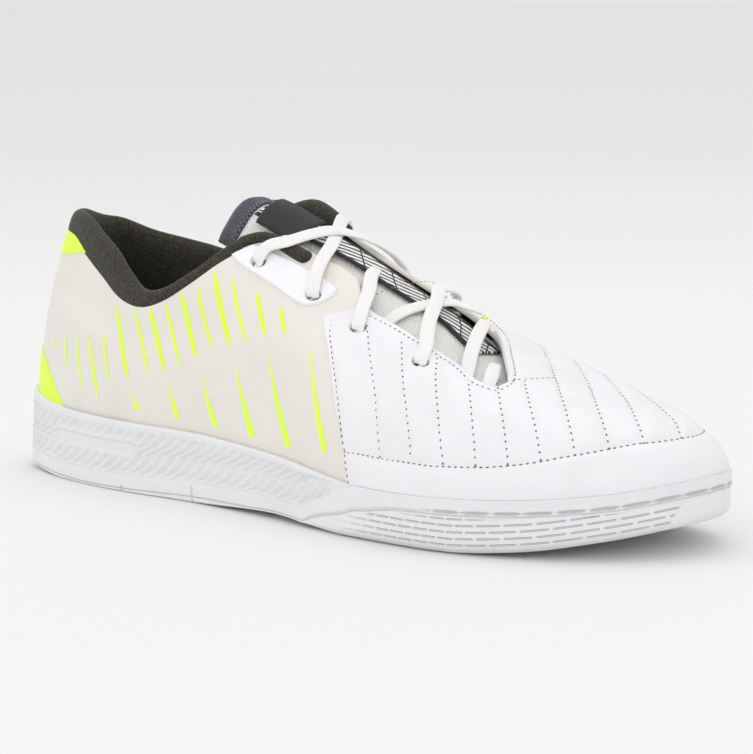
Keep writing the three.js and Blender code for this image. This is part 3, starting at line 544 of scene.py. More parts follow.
def ready_to_round(spots, tris, levels, soft, low):
    """Cuts a sheet along lines beside its edges, at shares of the width that is rounded."""
    for level in levels:
        d = from_border(spots, tris, low) - level * soft
        spots, tris, _ = split(spots, tris, d)
    return weld(spots, tris)


def by_side(outer, inner):
    return lambda p: np.where(p[:, 1] < 0, outer(p), inner(p))


def scaled(points, *sizes):
    return np.asarray(points, float) * sizes


def collar_line(p):
    """Height of the cut edge over each point. The two sides blend behind the heel."""
    inner = smooth((p[:, 1] + 10) / 20)
    along = p[:, 0] / LENGTH
    outer_line, inner_line = curve(COLLAR, "outer", along), curve(COLLAR, "inner", along)
    return COLLAR_HEIGHT * (outer_line * (1 - inner) + inner_line * inner)


def collar_field(p):
    return collar_line(p) - p[:, 2]


throat_line = through(scaled(THROAT, LENGTH, BALL_WIDTH), 160, closed=True)[:-1]


def throat_field(p):
    return np.where(p[:, 2] > THROAT_BASE * INSTEP_HEIGHT, from_outline(p[:, :2], throat_line), 99)


def seen_from_side(outline, round_it=True):
    line = scaled(outline, LENGTH, INSTEP_HEIGHT)
    if round_it:
        line = through(line, 90, closed=True)[:-1]
    return lambda p: -from_outline(p[:, [0, 2]], line)


leather_outer_line = through(scaled(LEATHER_OUTER[:8], LENGTH, INSTEP_HEIGHT), 60)
leather_inner_line = through(scaled(LEATHER_INNER, LENGTH, INSTEP_HEIGHT), 40)
front = scaled(LEATHER_FRONT, LENGTH, INSTEP_HEIGHT)
leather_outer = np.concatenate([leather_outer_line, scaled(LEATHER_OUTER[8:], LENGTH, INSTEP_HEIGHT), front])
leather_inner = np.concatenate([leather_inner_line, front])
leather_field = by_side(
    lambda p: -from_outline(p[:, [0, 2]], leather_outer),
    lambda p: -from_outline(p[:, [0, 2]], leather_inner))

HOLE = (2.9, 1.9)  # half length and half width of a lace hole
holes = above([a for a, _ in EYELETS], [c for _, c in EYELETS])
hole_points = on_skin(holes)
hole_normals = normals_at(holes)


def hole_field(p):
    """Distance from the lace holes, which are longest along the shoe."""
    best = np.full(len(p), 99.0)
    for at, normal in zip(hole_points, hole_normals):
        along = unit(np.cross(np.cross(normal, [1.0, 0, 0]), normal))
        side = np.cross(normal, along)
        d = p - at
        r = np.hypot(d @ along / HOLE[0], d @ side / HOLE[1])
        near = np.linalg.norm(d, axis=1) < 12
        best = np.where(near, np.minimum(best, (r - 1) * HOLE[1]), best)
    return best


# Materials


def linear(c):
    return c / 12.92 if c <= 0.04045 else ((c + 0.055) / 1.055) ** 2.4


def tone(red, green, blue):
    """A display colour as a linear one."""
    return linear(red), linear(green), linear(blue), 1.0


class Look:
    """A procedural material that is built up one node at a time."""

    def __init__(self, name, colour, rough, **extra):
        self.material = bpy.data.materials.new(name)
        self.material.use_nodes = True
        self.tree = self.material.node_tree
        self.shader = self.tree.nodes["Principled BSDF"]
        self.colour = colour
        self.shader.inputs["Base Color"].default_value = colour
        self.shader.inputs["Roughness"].default_value = rough
        for socket, value in extra.items():
            self.shader.inputs[socket.replace("_", " ")].default_value = value
        self.last_bump = None

    def node(self, kind, settings=None, **inputs):
        made = self.tree.nodes.new("ShaderNode" + kind)
        for key, value in (settings or {}).items():
            setattr(made, key, value)
        for key, value in inputs.items():
            numbered = key[0] == "i" and key[1:].isdigit()
            socket = made.inputs[int(key[1:]) if numbered else key.replace("_", " ")]
            if isinstance(value, bpy.types.NodeSocket):
                self.tree.links.new(value, socket)
            else:
                socket.default_value = value
        return made

    def space(self, attribute=None):
        if attribute:
            return self.node("Attribute", {"attribute_name": attribute}).outputs["Vector"]
        return self.node("TexCoord").outputs["Object"]

    def noise(self, scale, detail=3.0, rough=0.5, vector=None):
        made = self.node("TexNoise", Vector=vector or self.space(), Scale=scale, Detail=detail)
        made.inputs["Roughness"].default_value = rough
        return made.outputs["Fac"]

    def maths(self, operation, a, b=0.0, c=0.0):
        return self.node("Math", {"operation": operation}, i0=a, i1=b, i2=c).outputs[0]

    def ramp(self, value, low, high, to_low=0.0, to_high=1.0):
        made = self.node("MapRange", {"interpolation_type": "SMOOTHSTEP"}, Value=value)
        made.inputs["From Min"].default_value, made.inputs["From Max"].default_value = low, high
        made.inputs["To Min"].default_value, made.inputs["To Max"].default_value = to_low, to_high
        return made.outputs[0]

    def tint(self, fac, colour, strength=1.0):
        """Lays a colour over what is there, where fac is high."""
        if strength != 1.0:
            fac = self.maths("MULTIPLY", fac, strength)
        socket = self.shader.inputs["Base Color"]
        under = socket.links[0].from_socket if socket.links else None
        made = self.node("Mix", {"data_type": "RGBA"}, i0=fac)
        if under is not None:
            self.tree.links.new(under, made.inputs[6])
        else:
            made.inputs[6].default_value = self.colour
        made.inputs[7].default_value = colour
        self.tree.links.new(made.outputs[2], socket)
        return self

    def mottle(self, noise, low, high, colour, strength):
        """Lays a colour over patches where a noise is high."""
        return self.tint(self.ramp(self.noise(*noise), low, high), tone(*colour), strength)

    def bump(self, height, depth, strength=1.0):
        """Adds relief, its depth in millimetres."""
        made = self.node("Bump", Height=height, Strength=strength, Distance=depth / 1000)
        if self.last_bump is not None:
            self.tree.links.new(self.last_bump, made.inputs["Normal"])
        self.last_bump = made.outputs["Normal"]
        self.tree.links.new(self.last_bump, self.shader.inputs["Normal"])
        return self

    def vary_rough(self, fac, low, high):
        made = self.ramp(fac, 0.3, 0.7, low, high)
        self.tree.links.new(made, self.shader.inputs["Roughness"])
        return self

    def parts(self, attribute):
        return self.node("SeparateXYZ", Vector=self.space(attribute)).outputs


def make_looks():
    looks = {}

    # Coated mesh of the quarter: smooth film over fine pores.
    m = looks["mesh"] = Look("coated_mesh", tone(0.905, 0.89, 0.862), 0.42, Coat_Weight=0.12,
                             Coat_Roughness=0.35, Subsurface_Weight=0.08, Subsurface_Scale=0.002)
    m.mottle((38, 4), 0.35, 0.7, (0.88, 0.862, 0.832), 0.5)
    m.mottle((900, 2), 0.45, 0.62, (0.885, 0.865, 0.825), 0.25)
    pores = m.node("TexVoronoi", Vector=m.space(), Scale=1050.0).outputs["Distance"]
    m.bump(m.ramp(pores, 0.1, 0.55), 0.05, 0.55).bump(m.noise(70, 4), 0.5, 0.35)
    m.vary_rough(m.noise(120, 3), 0.36, 0.5)

    m = looks["inside"] = Look("inner_lining", tone(0.11, 0.108, 0.095), 0.95, Sheen_Weight=0.05)
    m.mottle((1400, 2), 0.42, 0.6, (0.06, 0.06, 0.052), 0.7)
    m.bump(m.noise(1500, 2), 0.12, 0.7)

    # Smooth calf leather with fine pebbling and soft wrinkles.
    m = looks["leather"] = Look("white_leather", tone(0.925, 0.92, 0.932), 0.4, Coat_Weight=0.1,
                                Coat_Roughness=0.3, Subsurface_Weight=0.05, Subsurface_Scale=0.0015)
    m.mottle((55, 5, 0.6), 0.4, 0.72, (0.885, 0.878, 0.888), 0.5)
    grain = m.node("TexVoronoi", {"feature": "SMOOTH_F1"}, Vector=m.space(), Scale=820.0).outputs["Distance"]
    m.bump(grain, 0.06, 0.5).bump(m.noise(160, 5, 0.65), 0.28, 0.45)
    m.vary_rough(m.noise(200, 4), 0.34, 0.48)

    m = looks["film"] = Look("smooth_film", tone(0.95, 0.948, 0.96), 0.36, Coat_Weight=0.2,
                             Coat_Roughness=0.25)
    m.mottle((60, 4), 0.4, 0.7, (0.91, 0.908, 0.925), 0.5)
    m.bump(m.noise(1300, 2), 0.02, 0.5).bump(m.noise(90, 3), 0.2, 0.3)
    m.vary_rough(m.noise(150, 3), 0.3, 0.42)

    # The neon print is given a faint emission: a painted glow.
    m = looks["neon"] = Look("neon_print", tone(0.85, 1.0, 0.23), 0.42, Coat_Weight=0.1, Coat_Roughness=0.4,
                             Emission_Color=tone(0.8, 1.0, 0.2), Emission_Strength=0.12)
    m.mottle((140, 3), 0.4, 0.7, (0.8, 0.97, 0.3), 0.4)
    m.bump(m.noise(900, 2), 0.03, 0.5)

    m = looks["thread"] = Look("thread", tone(0.52, 0.48, 0.46), 0.7, Sheen_Weight=0.1)
    m.tint(m.noise(1500, 1), tone(0.42, 0.39, 0.37), 0.5)
    m.bump(m.noise(4000, 1), 0.05, 0.6)

    # Heathered fleece of the collar.
    m = looks["fleece"] = Look("collar_fleece", tone(0.165, 0.157, 0.118), 0.95, Sheen_Weight=0.1,
                               Sheen_Roughness=0.6)
    m.mottle((1300, 4, 0.8), 0.46, 0.64, (0.36, 0.34, 0.26), 0.6)
    m.mottle((900, 3, 0.75), 0.5, 0.66, (0.06, 0.058, 0.045), 0.7)
    m.bump(m.noise(1500, 3, 0.7), 0.35, 0.9).bump(m.noise(330, 3), 0.5, 0.5)

    # Spacer mesh of the tongue: rows of small holes.
    m = looks["spacer"] = Look("tongue_mesh", tone(0.975, 0.972, 0.955), 0.8, Sheen_Weight=0.15)
    grid = m.node("TexBrick", {"offset": 0.5}, Vector=m.space("weave"), Scale=0.24, Mortar_Size=0.06,
                  Mortar_Smooth=0.6, Brick_Width=0.24, Row_Height=0.2)
    # The holes are tinted darker: painted shade in them.
    hole_shade = m.maths("SUBTRACT", 1.0, grid.outputs["Fac"])
    m.tint(hole_shade, tone(0.75, 0.745, 0.72), 0.45)
    m.bump(grid.outputs["Fac"], 0.28, 0.9).bump(m.noise(1600, 2), 0.05, 0.5)

    # Ribbed knit.
    m = looks["knit"] = Look("charcoal_knit", tone(0.25, 0.255, 0.285), 0.9, Sheen_Weight=0.3)
    wave = m.node("TexWave", {"wave_type": "BANDS", "bands_direction": "X"}, Vector=m.space("weave"),
                  Scale=0.5, Distortion=1.2, Detail=1.0, Detail_Scale=2.0).outputs["Fac"]
    # The raised ribs are tinted lighter than the hollows between them: painted light and shade on the ribs.
    m.tint(wave, tone(0.36, 0.365, 0.4), 0.7)
    m.mottle((1500, 2), 0.45, 0.62, (0.14, 0.14, 0.17), 0.6)
    m.bump(wave, 0.25, 0.8).bump(m.noise(2200, 2), 0.12, 0.7)

    m = looks["knit_thread"] = Look("knit_thread", tone(0.42, 0.43, 0.48), 0.6, Sheen_Weight=0.2)
    m.bump(m.noise(3000, 1), 0.05, 0.6)
    m.tint(m.noise(900, 1), tone(0.3, 0.31, 0.36), 0.5)

    # Striped webbing: black edges, white slanting bars in the middle.
    m = looks["webbing"] = Look("striped_webbing", tone(0.06, 0.06, 0.07), 0.75, Sheen_Weight=0.05)
    x, y, _ = m.parts("weave")
    # Long white strokes at a slant to the webbing, in groups with black edges and gaps.
    bent = m.maths("MULTIPLY", m.noise(0.2, 2, vector=m.space("weave")), 1.2)
    slant = m.maths("SUBTRACT", m.maths("MULTIPLY", y, 0.92), m.maths("MULTIPLY", x, 0.36))
    slanted = m.maths("ADD", slant, bent)
    white = m.ramp(m.maths("PINGPONG", slanted, 1.15), 0.36, 0.52)
    gap = m.maths("PINGPONG", m.maths("ADD", x, m.maths("MULTIPLY", y, 1.1)), 7.5)
    middle = m.ramp(m.maths("ABSOLUTE", y), 4.2, 3.9)
    field = m.maths("MULTIPLY", m.maths("MULTIPLY", white, middle), m.ramp(gap, 0.25, 0.5))
    m.tint(field, tone(0.93, 0.93, 0.92))
    weft = m.node("TexWave", {"bands_direction": "X"}, Vector=m.space("weave"), Scale=0.75).outputs["Fac"]
    m.bump(weft, 0.1, 0.8).bump(field, 0.12, 0.8)

    m = looks["label"] = Look("woven_label", tone(0.05, 0.05, 0.057), 0.62, Sheen_Weight=0.05)
    weft = m.node("TexWave", {"bands_direction": "Y"}, Vector=m.space("weave"), Scale=0.9).outputs["Fac"]
    # The raised weft is tinted lighter: a painted highlight on it.
    m.tint(weft, tone(0.1, 0.1, 0.112), 0.6)
    m.bump(weft, 0.06, 0.8).bump(m.noise(400, 3), 0.12, 0.5)

    # Flat woven lace: a herringbone of fine ribs.
    m = looks["lace"] = Look("woven_lace", tone(0.985, 0.985, 0.98), 0.72, Sheen_Weight=0.15,
                             Subsurface_Weight=0.06, Subsurface_Scale=0.001)
    x, y, _ = m.parts("weave")
    chevron = m.maths("ADD", x, m.maths("PINGPONG", y, 0.7))
    rib = m.maths("PINGPONG", chevron, 0.36)
    # The hollows between the ribs are tinted darker: painted shade in them.
    m.tint(m.ramp(rib, 0.14, 0.02), tone(0.87, 0.87, 0.86), 0.35)
    m.bump(m.ramp(rib, 0.0, 0.3), 0.16, 0.8).bump(m.noise(1800, 2), 0.05, 0.6)

    # Rubber, with dashes cut in rows on the side of the toe.
    m = looks["rubber"] = Look("white_rubber", tone(0.905, 0.908, 0.915), 0.42, Coat_Weight=0.05)
    m.mottle((90, 4), 0.4, 0.75, (0.875, 0.88, 0.888), 0.5)
    # Rows of thin dashes, each row set off by half a dash, and the long recesses over them.
    run, up, mask = m.parts("side")
    level = m.maths("DIVIDE", up, DASH_ROW)
    within = m.maths("ABSOLUTE", m.maths("SUBTRACT", m.maths("FRACT", level), 0.5))
    row = m.maths("MULTIPLY", m.maths("FLOOR", level), 0.5)
    shifted = m.maths("FRACT", m.maths("ADD", m.maths("DIVIDE", run, DASH_PITCH), row))
    beat = m.maths("ABSOLUTE", m.maths("SUBTRACT", shifted, 0.5))
    line = m.maths("MULTIPLY", m.ramp(within, 0.17, 0.05), m.ramp(beat, 0.46, 0.38))
    cut = m.maths("MULTIPLY", line, m.maths("MAXIMUM", mask, 0.0))
    # The dashes are tinted darker: painted shade in them.
    m.tint(cut, tone(0.72, 0.725, 0.74), 0.45)
    # Where the side mark falls below 0 it is tinted darker: painted shade in the recesses over the step, and
    # the dark line where the rubber meets the foam.
    m.tint(m.maths("MAXIMUM", m.maths("MULTIPLY", mask, -1.0), 0.0), tone(0.66, 0.665, 0.68), 0.6)
    m.bump(m.maths("SUBTRACT", 1.0, cut), 0.5, 1.0)
    m.bump(m.noise(600, 3), 0.03, 0.5)
    m.vary_rough(m.noise(170, 3), 0.36, 0.5)

    # Its tread: lugs drawn with a tint and relief alone; the tint darkens the grooves between them, as
    # painted shade.
    m = looks["tread"] = Look("tread_rubber", tone(0.9, 0.905, 0.915), 0.55)
    lugs = m.node("TexBrick", {"offset": 0.5}, Vector=m.space(), Scale=30.0, Mortar_Size=0.04,
                  Mortar_Smooth=0.3, Brick_Width=0.42, Row_Height=0.2).outputs["Fac"]
    m.tint(lugs, tone(0.75, 0.755, 0.77), 0.6)
    m.bump(m.maths("SUBTRACT", 1.0, lugs), 1.0, 1.0).bump(m.noise(500, 3), 0.05, 0.5)

    m = looks["foam"] = Look("white_foam", tone(0.895, 0.898, 0.902), 0.5, Subsurface_Weight=0.08,
                             Subsurface_Scale=0.002)
    m.mottle((75, 4), 0.4, 0.72, (0.87, 0.873, 0.88), 0.5)
    beads = m.node("TexVoronoi", Vector=m.space(), Scale=900.0).outputs["Distance"]
    m.bump(beads, 0.025, 0.5).bump(m.noise(250, 3), 0.06, 0.5)
    m.vary_rough(m.noise(140, 3), 0.44, 0.58)

    m = looks["insole"] = Look("insole_cloth", tone(0.13, 0.13, 0.12), 0.95, Sheen_Weight=0.05)
    m.mottle((1200, 2), 0.42, 0.6, (0.2, 0.2, 0.185), 0.6)
    m.bump(m.noise(1300, 2), 0.15, 0.7)

    m = looks["floor"] = Look("studio_floor", tone(0.93, 0.93, 0.93), 0.75)
    m.mottle((0.8, 2), 0.3, 0.7, (0.915, 0.915, 0.915), 0.5)
    m.bump(m.noise(300, 2), 0.02, 0.2)
    return looks


DASH_ROW = 2.15  # pitch of the rows of dashes on the toe
DASH_PITCH = 6.2  # pitch of the dashes in a row
LOOKS = make_looks()


def piece(name, points, faces, looks, nodes=(), face_looks=None, marks=None):
    """A mesh that rides on the shoe and stands for CAD nodes."""
    mesh = bpy.data.meshes.new(name)
    mesh.from_pydata(metres(points).tolist(), [], [list(map(int, f)) for f in faces])
    for look in looks:
        mesh.materials.append(LOOKS[look].material)
    if face_looks is not None:
        mesh.polygons.foreach_set("material_index", np.asarray(face_looks, np.int32))
    for key, values in (marks or {}).items():
        layer = mesh.attributes.new(key, "FLOAT_VECTOR", "POINT")
        layer.data.foreach_set("vector", np.asarray(values, np.float32).ravel())
    mesh.polygons.foreach_set("use_smooth", np.ones(len(mesh.polygons), bool))
    mesh.update()
    made = bpy.data.objects.new(name, mesh)
    bpy.context.collection.objects.link(made)
    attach(made, "root")
    if nodes:
        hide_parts(*nodes)
    return made


class Heap:
    """Several meshes collected into one piece."""

    def __init__(self):
        self.points, self.faces, self.looks, self.marks, self.count = [], [], [], [], 0

    def add(self, points, faces, look=0, marks=None):
        points = np.asarray(points, float)
        self.points.append(points)
        self.faces += [[int(i) + self.count for i in f] for f in faces]
        self.looks += [look] * len(faces)
        self.marks.append(np.zeros((len(points), 3)) if marks is None else marks)
        self.count += len(points)

    def piece(self, name, looks, slot, nodes=(), mark=None):
        marks = {mark: np.concatenate(self.marks)} if mark else None
        return piece(name, np.concatenate(self.points), self.faces, looks, nodes, self.looks, marks)


# Seams and prints on the last


def pixels(path, step=3.0):
    """Places of the last that a path drawn on the photograph's pixels covers."""
    dense = through(np.asarray(path, float), 0) if len(path) > 2 else np.linspace(path[0], path[1], 48)
    run = length_along(dense)
    even = np.linspace(0, run[-1], max(3, int(run[-1] / step)))
    u, v = np.interp(even, run, dense[:, 0]), np.interp(even, run, dense[:, 1])
    found = [ON_LAST.seen(a, b) for a, b in zip(u, v)]
    return np.array([f for f in found if f is not None])


def walk(path, step):
    """Places along a path on the last at equal steps."""
    path = np.asarray(path, float)
    points = on_skin(path)
    run = length_along(points)
    count = max(2, int(round(run[-1] / step)) + 1)
    even = np.linspace(0, run[-1], count)
    points = np.stack([np.interp(even, run, points[:, i]) for i in range(3)], -1)
    found = [ON_LAST.near(p) for p in points]
    return np.array([f for f in found if f is not None])


def mirrored(path):
    path = np.array(path, float)
    path[:, 0] = AROUND - path[:, 0]
    return path


STITCH = np.array([(1, 0, 0), (-1, 0, 0), (0, 1, 0), (0, -1, 0), (0, 0, 1), (0, 0, -1)], float)
STITCH_FACES = [(0, 2, 4), (2, 1, 4), (1, 3, 4), (3, 0, 4), (2, 0, 5), (1, 2, 5), (3, 1, 5), (0, 3, 5)]


def stitches(heap, path, height, look, pitch, long, wide, high=0.34):
    """Stitches along a path over the last, at the height that a function of its points gives."""
    at = walk(path, pitch)
    base, normals = on_skin(at), normals_at(at)
    points = base + height(base)[:, None] * normals
    ways = ways_along(points)
    for p, n, w in zip(points, normals, ways):
        side = unit(np.cross(n, w))
        shape = STITCH[:, :1] * w * long / 2 + STITCH[:, 1:2] * side * wide / 2 + STITCH[:, 2:] * n * high / 2
        heap.add(p + shape, STITCH_FACES, look)


# Upper


def skin_at_pixels(path):
    found = [ON_LAST.seen(u, v) for u, v in path]
    return np.array([skin(*f) for f in found if f is not None])


# Soft creases of the quarter: path in pixels of the photograph, height and half width.
CREASES = [
    ([(62, 284), (72, 291), (87, 301), (97, 312), (107, 324), (118, 333), (131, 338), (146, 336), (162, 331),
      (180, 322)], -0.8, 6.5),
    ([(60, 284), (66, 281), (74, 279), (82, 277)], -0.35, 1.3),
    ([(66, 314), (78, 321), (92, 331), (103, 343), (110, 358), (114, 374), (117, 390)], 1.5, 5.0),
    ([(188, 392), (196, 402), (203, 414), (210, 428)], -0.3, 3.0),
    ([(60, 372), (74, 392), (92, 408), (116, 420)], -0.5, 6.0),
]
crease_lines = [(through(skin_at_pixels(path), 24), height, half) for path, height, half in CREASES]


def quarter_relief(points):
    rise = np.zeros(len(points))
    for line, height, half in crease_lines:
        rise += height * np.exp(-((to_line(points, line) / half) ** 2))
    return rise


UPPER_TURNS = np.concatenate([[-1, -0.4], np.linspace(0, 1, 62)])
spots, tris = cut_sheet(np.linspace(0, AROUND, 481), UPPER_TURNS, (collar_field, throat_field, hole_field))
outer_points = raised(spots, quarter_relief(on_skin(spots)))
inner_points = on_skin(spots, -WALL)
n = len(spots)
faces = tris.tolist() + (tris[:, ::-1] + n).tolist()
walls = [[b, a, a + n, b + n] for a, b in border(tris)]

# Neon prints on the quarter: start, end and greatest width in pixels of the photograph; those of the
# lower row are widest near their rounded lower ends.
UPPER_STRIPES = [
    (115.5, 304, 129, 381, 3.6), (134, 306, 149, 375, 2.6), (149, 306, 166, 374, 3.9),
    (165, 302, 181, 368, 2.6), (181, 291, 197, 360, 4.2), (197, 285, 213, 351, 2.6),
    (214, 271, 231, 349, 4.4), (232, 277, 247, 345, 2.6), (257, 291, 266, 338, 3.6),
    (281, 307, 285, 334, 3.4),
]
LOWER_STRIPES = [
    (132, 392, 138, 411, 4.4), (168, 384, 178, 419, 5.0), (201, 374, 216, 428, 5.6),
    (235, 362, 253, 438, 6.4), (268, 352, 289, 449, 6.4), (309, 338, 325, 454, 6.0),
]
HEEL_STRIPES = [
    (106, 332, 112, 381, 2.4), (90.5, 334, 98, 399, 3.2), (77.5, 335, 82, 391, 2.2), (66, 334, 66, 367, 2.6),
    (55, 338, 55.5, 352, 2.0),
]
PIXEL = DISTANCE / FOCAL  # millimetres that a pixel covers at the shoe
PRINT = 0.07  # height of the print over the mesh
STRIPE_STEPS = 26  # points along each side of a stripe
STRIPE_SPREAD = 1.5  # soft edges of the print make each stripe wider than its core


def stripe(heap, start, end, wide, lower):
    u0, v0 = start
    u1, v1 = end
    t = np.linspace(0, 1, STRIPE_STEPS)
    bow = 0.018 * math.hypot(u1 - u0, v1 - v0) * np.sin(np.pi * t)
    centre = [ON_LAST.seen(u0 + (u1 - u0) * a - b, v0 + (v1 - v0) * a) for a, b in zip(t, bow)]
    if any(c is None for c in centre):
        return
    centre = np.array(centre)
    points, normals = on_skin(centre), normals_at(centre)
    side = unit(np.cross(normals, ways_along(points)))
    if lower:
        half = wide / 2 * np.minimum(t ** 0.9, np.sqrt(np.maximum(0, 1 - ((t - 0.95) / 0.05).clip(0) ** 2)))
    else:
        half = wide / 2 * np.minimum(1, 2.6 * np.minimum(t, 1 - t) ** 0.6)
    half = half * PIXEL * STRIPE_SPREAD
    left = [ON_LAST.near(p - s * h) for p, s, h in zip(points, side, half)]
    right = [ON_LAST.near(p + s * h) for p, s, h in zip(points, side, half)]
    one = np.array(left + right)
    faces = [(i, i + 1, i + STRIPE_STEPS + 1, i + STRIPE_STEPS) for i in range(STRIPE_STEPS - 1)]
    for both, way in ((one, -1), (mirrored(one), 1)):
        heap.add(raised(both, PRINT + quarter_relief(on_skin(both))), [f[::way] for f in faces], 2)


shell = Heap()
shell.add(np.concatenate([outer_points, inner_points]), faces + walls)
shell.looks = [0] * len(tris) + [1] * len(tris) + [0] * len(walls)
for row, lower in ((UPPER_STRIPES, False), (LOWER_STRIPES, True), (HEEL_STRIPES, False)):
    for u0, v0, u1, v1, wide in row:
        stripe(shell, (u0, v0), (u1, v1), wide, lower)
shell.piece("quarter_shell", ["mesh", "inside", "neon"], "upper", ["upper"])


EDGE_HEIGHT = 0.1  # a panel's edge over the upper, before it rounds up to the full thickness
SKIRT = 0.4  # how deep its edge reaches under the surface of the upper


def panel(name, fields, places, turns, thick, soft, looks, slot, node, relief=None, seams=()):
    """A cut sheet lying on the upper, with rounded edges."""
    spots, tris = cut_sheet(places, turns, fields)
    low = turns[0] + 1e-3
    spots, tris = ready_to_round(spots, tris, (0.12, 0.4, 1.0), soft, low)
    d = from_border(spots, tris, low)
    grow = EDGE_HEIGHT + (thick - EDGE_HEIGHT) * rounding(np.clip(d / soft, 0, 1))
    if relief is not None:
        grow = grow + relief(on_skin(spots), d)
    points = raised(spots, grow)
    edges = border(tris)
    ends = np.unique(edges)
    lowered = raised(spots[ends], -SKIRT)
    at = {int(e): len(points) + i for i, e in enumerate(ends)}
    heap = Heap()
    skirt = [[b, a, at[int(a)], at[int(b)]] for a, b in edges]
    heap.add(np.concatenate([points, lowered]), tris.tolist() + skirt)

    def stitch_height(p):
        return thick + STITCH_PROUD + relief(p, np.full(len(p), SEAM_INSET))

    for seam, sizes in seams:
        stitches(heap, seam, stitch_height, 1, *sizes)
    return heap.piece(name, looks, slot, [node])


def on_side(sign, gap=3):
    return lambda p: sign * p[:, 1] - gap


FILM = CLEAR + PATCH
EYE_BACK, EYE_FRONT = 3.6, 7.2  # places between which the patches at the eyelets lie
HEEL_FRONT = 3.6  # place in front of which the panels at the heel end
eyestay_field = seen_from_side(EYESTAY)
for side, name in ((-1, "eyestay_outer"), (1, "eyestay_inner")):
    places = np.linspace(EYE_BACK, EYE_FRONT, 120)
    if side > 0:
        places = AROUND - np.linspace(EYE_FRONT, EYE_BACK, 120)
    fields = [eyestay_field, on_side(side), throat_field, lambda p: collar_field(p) - 0.6, hole_field]
    panel(name + "_film", fields, places, np.linspace(0.3, 1, 90), FILM, 0.9, ["film"], "patch", name)

HEEL_SOFT = 0.8  # rounded width of the edges of the panels at the heel
HEEL_EDGE, HEEL_RISE = 0.08, 0.45  # their height at the edge, and how much it grows
for name, outline, node, turns in (
        ("heel_tab_film", HEEL_TAB, "heel_tab", np.linspace(0.3, 0.75, 50)),
        ("heel_counter_film", HEEL_COUNTER, "heel_counter", np.linspace(0.0, 0.5, 60))):
    spots, tris = cut_sheet(np.linspace(-HEEL_FRONT, HEEL_FRONT, 161), turns,
                            (seen_from_side(outline, round_it=False), lambda p: collar_field(p) - 0.4))
    spots, tris = ready_to_round(spots, tris, (0.15, 0.5, 1.0), HEEL_SOFT, -1)
    t = np.clip(from_border(spots, tris, turns[0] + 1e-3) / HEEL_SOFT, 0, 1)
    grow = HEEL_EDGE + HEEL_RISE * rounding(t)
    points = raised(spots, grow + quarter_relief(on_skin(spots)))
    heap = Heap()
    heap.add(points, tris.tolist())
    heap.piece(name, ["neon"], "neon", [node])

# Seams of the leather in pixels of the photograph. Quilting lines run from top to bottom.
LOW_SEAM = [
    (346, 452), (365, 455), (385, 459), (410, 463), (435, 466.5), (460, 467.5), (485, 468), (510, 466.5),
    (535, 463.5), (560, 459), (585, 455), (610, 450.5), (635, 446), (660, 443.5), (684, 440), (704, 435.5),
]
REAR_SEAM = [(334, 322), (332, 331), (334, 352), (337.5, 376), (341, 402), (344, 432), (347, 455), (351, 482)]
QUILTING = [
    [(367.5, 328), (371, 357), (376, 390), (379, 425), (382, 457)],
    [(402, 345), (403, 372), (406.5, 402), (410, 430), (412.5, 454)],
    [(437, 361), (436, 380), (438.5, 410), (441, 437), (444.5, 464)],
    [(468, 382), (470, 397), (472.5, 420), (475, 444), (476.5, 466)],
    [(497, 386), (500, 404), (504, 427), (507, 449), (508.5, 465)],
    [(524, 384), (529, 405), (534, 424), (538.5, 445), (541, 461)],
]
CROSSING = [  # these run on over the ridge
    [(541.5, 351), (549.5, 368), (557, 388), (566, 415), (571.5, 438), (575, 456)],
    [(577.5, 369), (588, 388), (596, 408), (604, 430), (609, 450)],
    [(616, 391.5), (627, 405), (635, 421), (641, 436), (643, 445)],
    [(664, 415), (672, 422), (677, 431), (680, 440)],
]
FRONT_SEAM = [(500, 384), (515, 382.5), (535, 381.5), (552, 380.5)]
SEAM_INSET = 2.2  # from the cut edge to its stitching
STITCH_PROUD = 0.06
ROUND_STITCH = (2.6, 1.1, 0.88)  # pitch, length and width of a stitch in the quilting
LONG_STITCH = (2.15, 1.4, 0.7)  # and in the other seams

BACK_BEND = 0.004  # how far the crossing lines bend back to the heel, for each square millimetre
FAR_SEAM = [(0.675, 0.24), (0.655, 0.33)]  # hidden: shares of length and width


def spline_on_last(path, count=60):
    """Smooths a path over the last through its points in space."""
    line = through(on_skin(path), count)
    return np.array([ON_LAST.near(p) for p in line])


def run_on(line):
    """Carries a line on over the ridge in the direction in which it gets there."""
    at = on_skin(line)[:, :2]
    way = unit(at[1] - at[6])
    ends = [ON_LAST.under(*(at[1] + way * d - [BACK_BEND * d * d, 0])) for d in (27, 18, 9)]
    return spline_on_last(np.concatenate([[e for e in ends if e is not None], line[1:]]))


quilted = [pixels(line) for line in QUILTING]
crossing = [run_on(pixels(line)) for line in CROSSING]
rear_seam, front_seam, low_seam = pixels(REAR_SEAM), pixels(FRONT_SEAM), pixels(LOW_SEAM)
low_outer = low_seam[low_seam[:, 0] < STATIONS]
tip = np.array([(float(STATIONS), low_seam[-1][1])])
low_all = walk(np.concatenate([low_outer, tip, mirrored(low_outer)[::-1]]), 1.5)


def on_inner(line):
    """Places of the inner side that a line seen from the side covers."""
    found = []
    for x, z in line:
        hit = ON_LAST.spot(ON_LAST.tree.ray_cast(Vector((x, 200, z)), Vector((0, -1, 0))))
        if hit is not None:
            found.append(hit)
    return np.array(found)


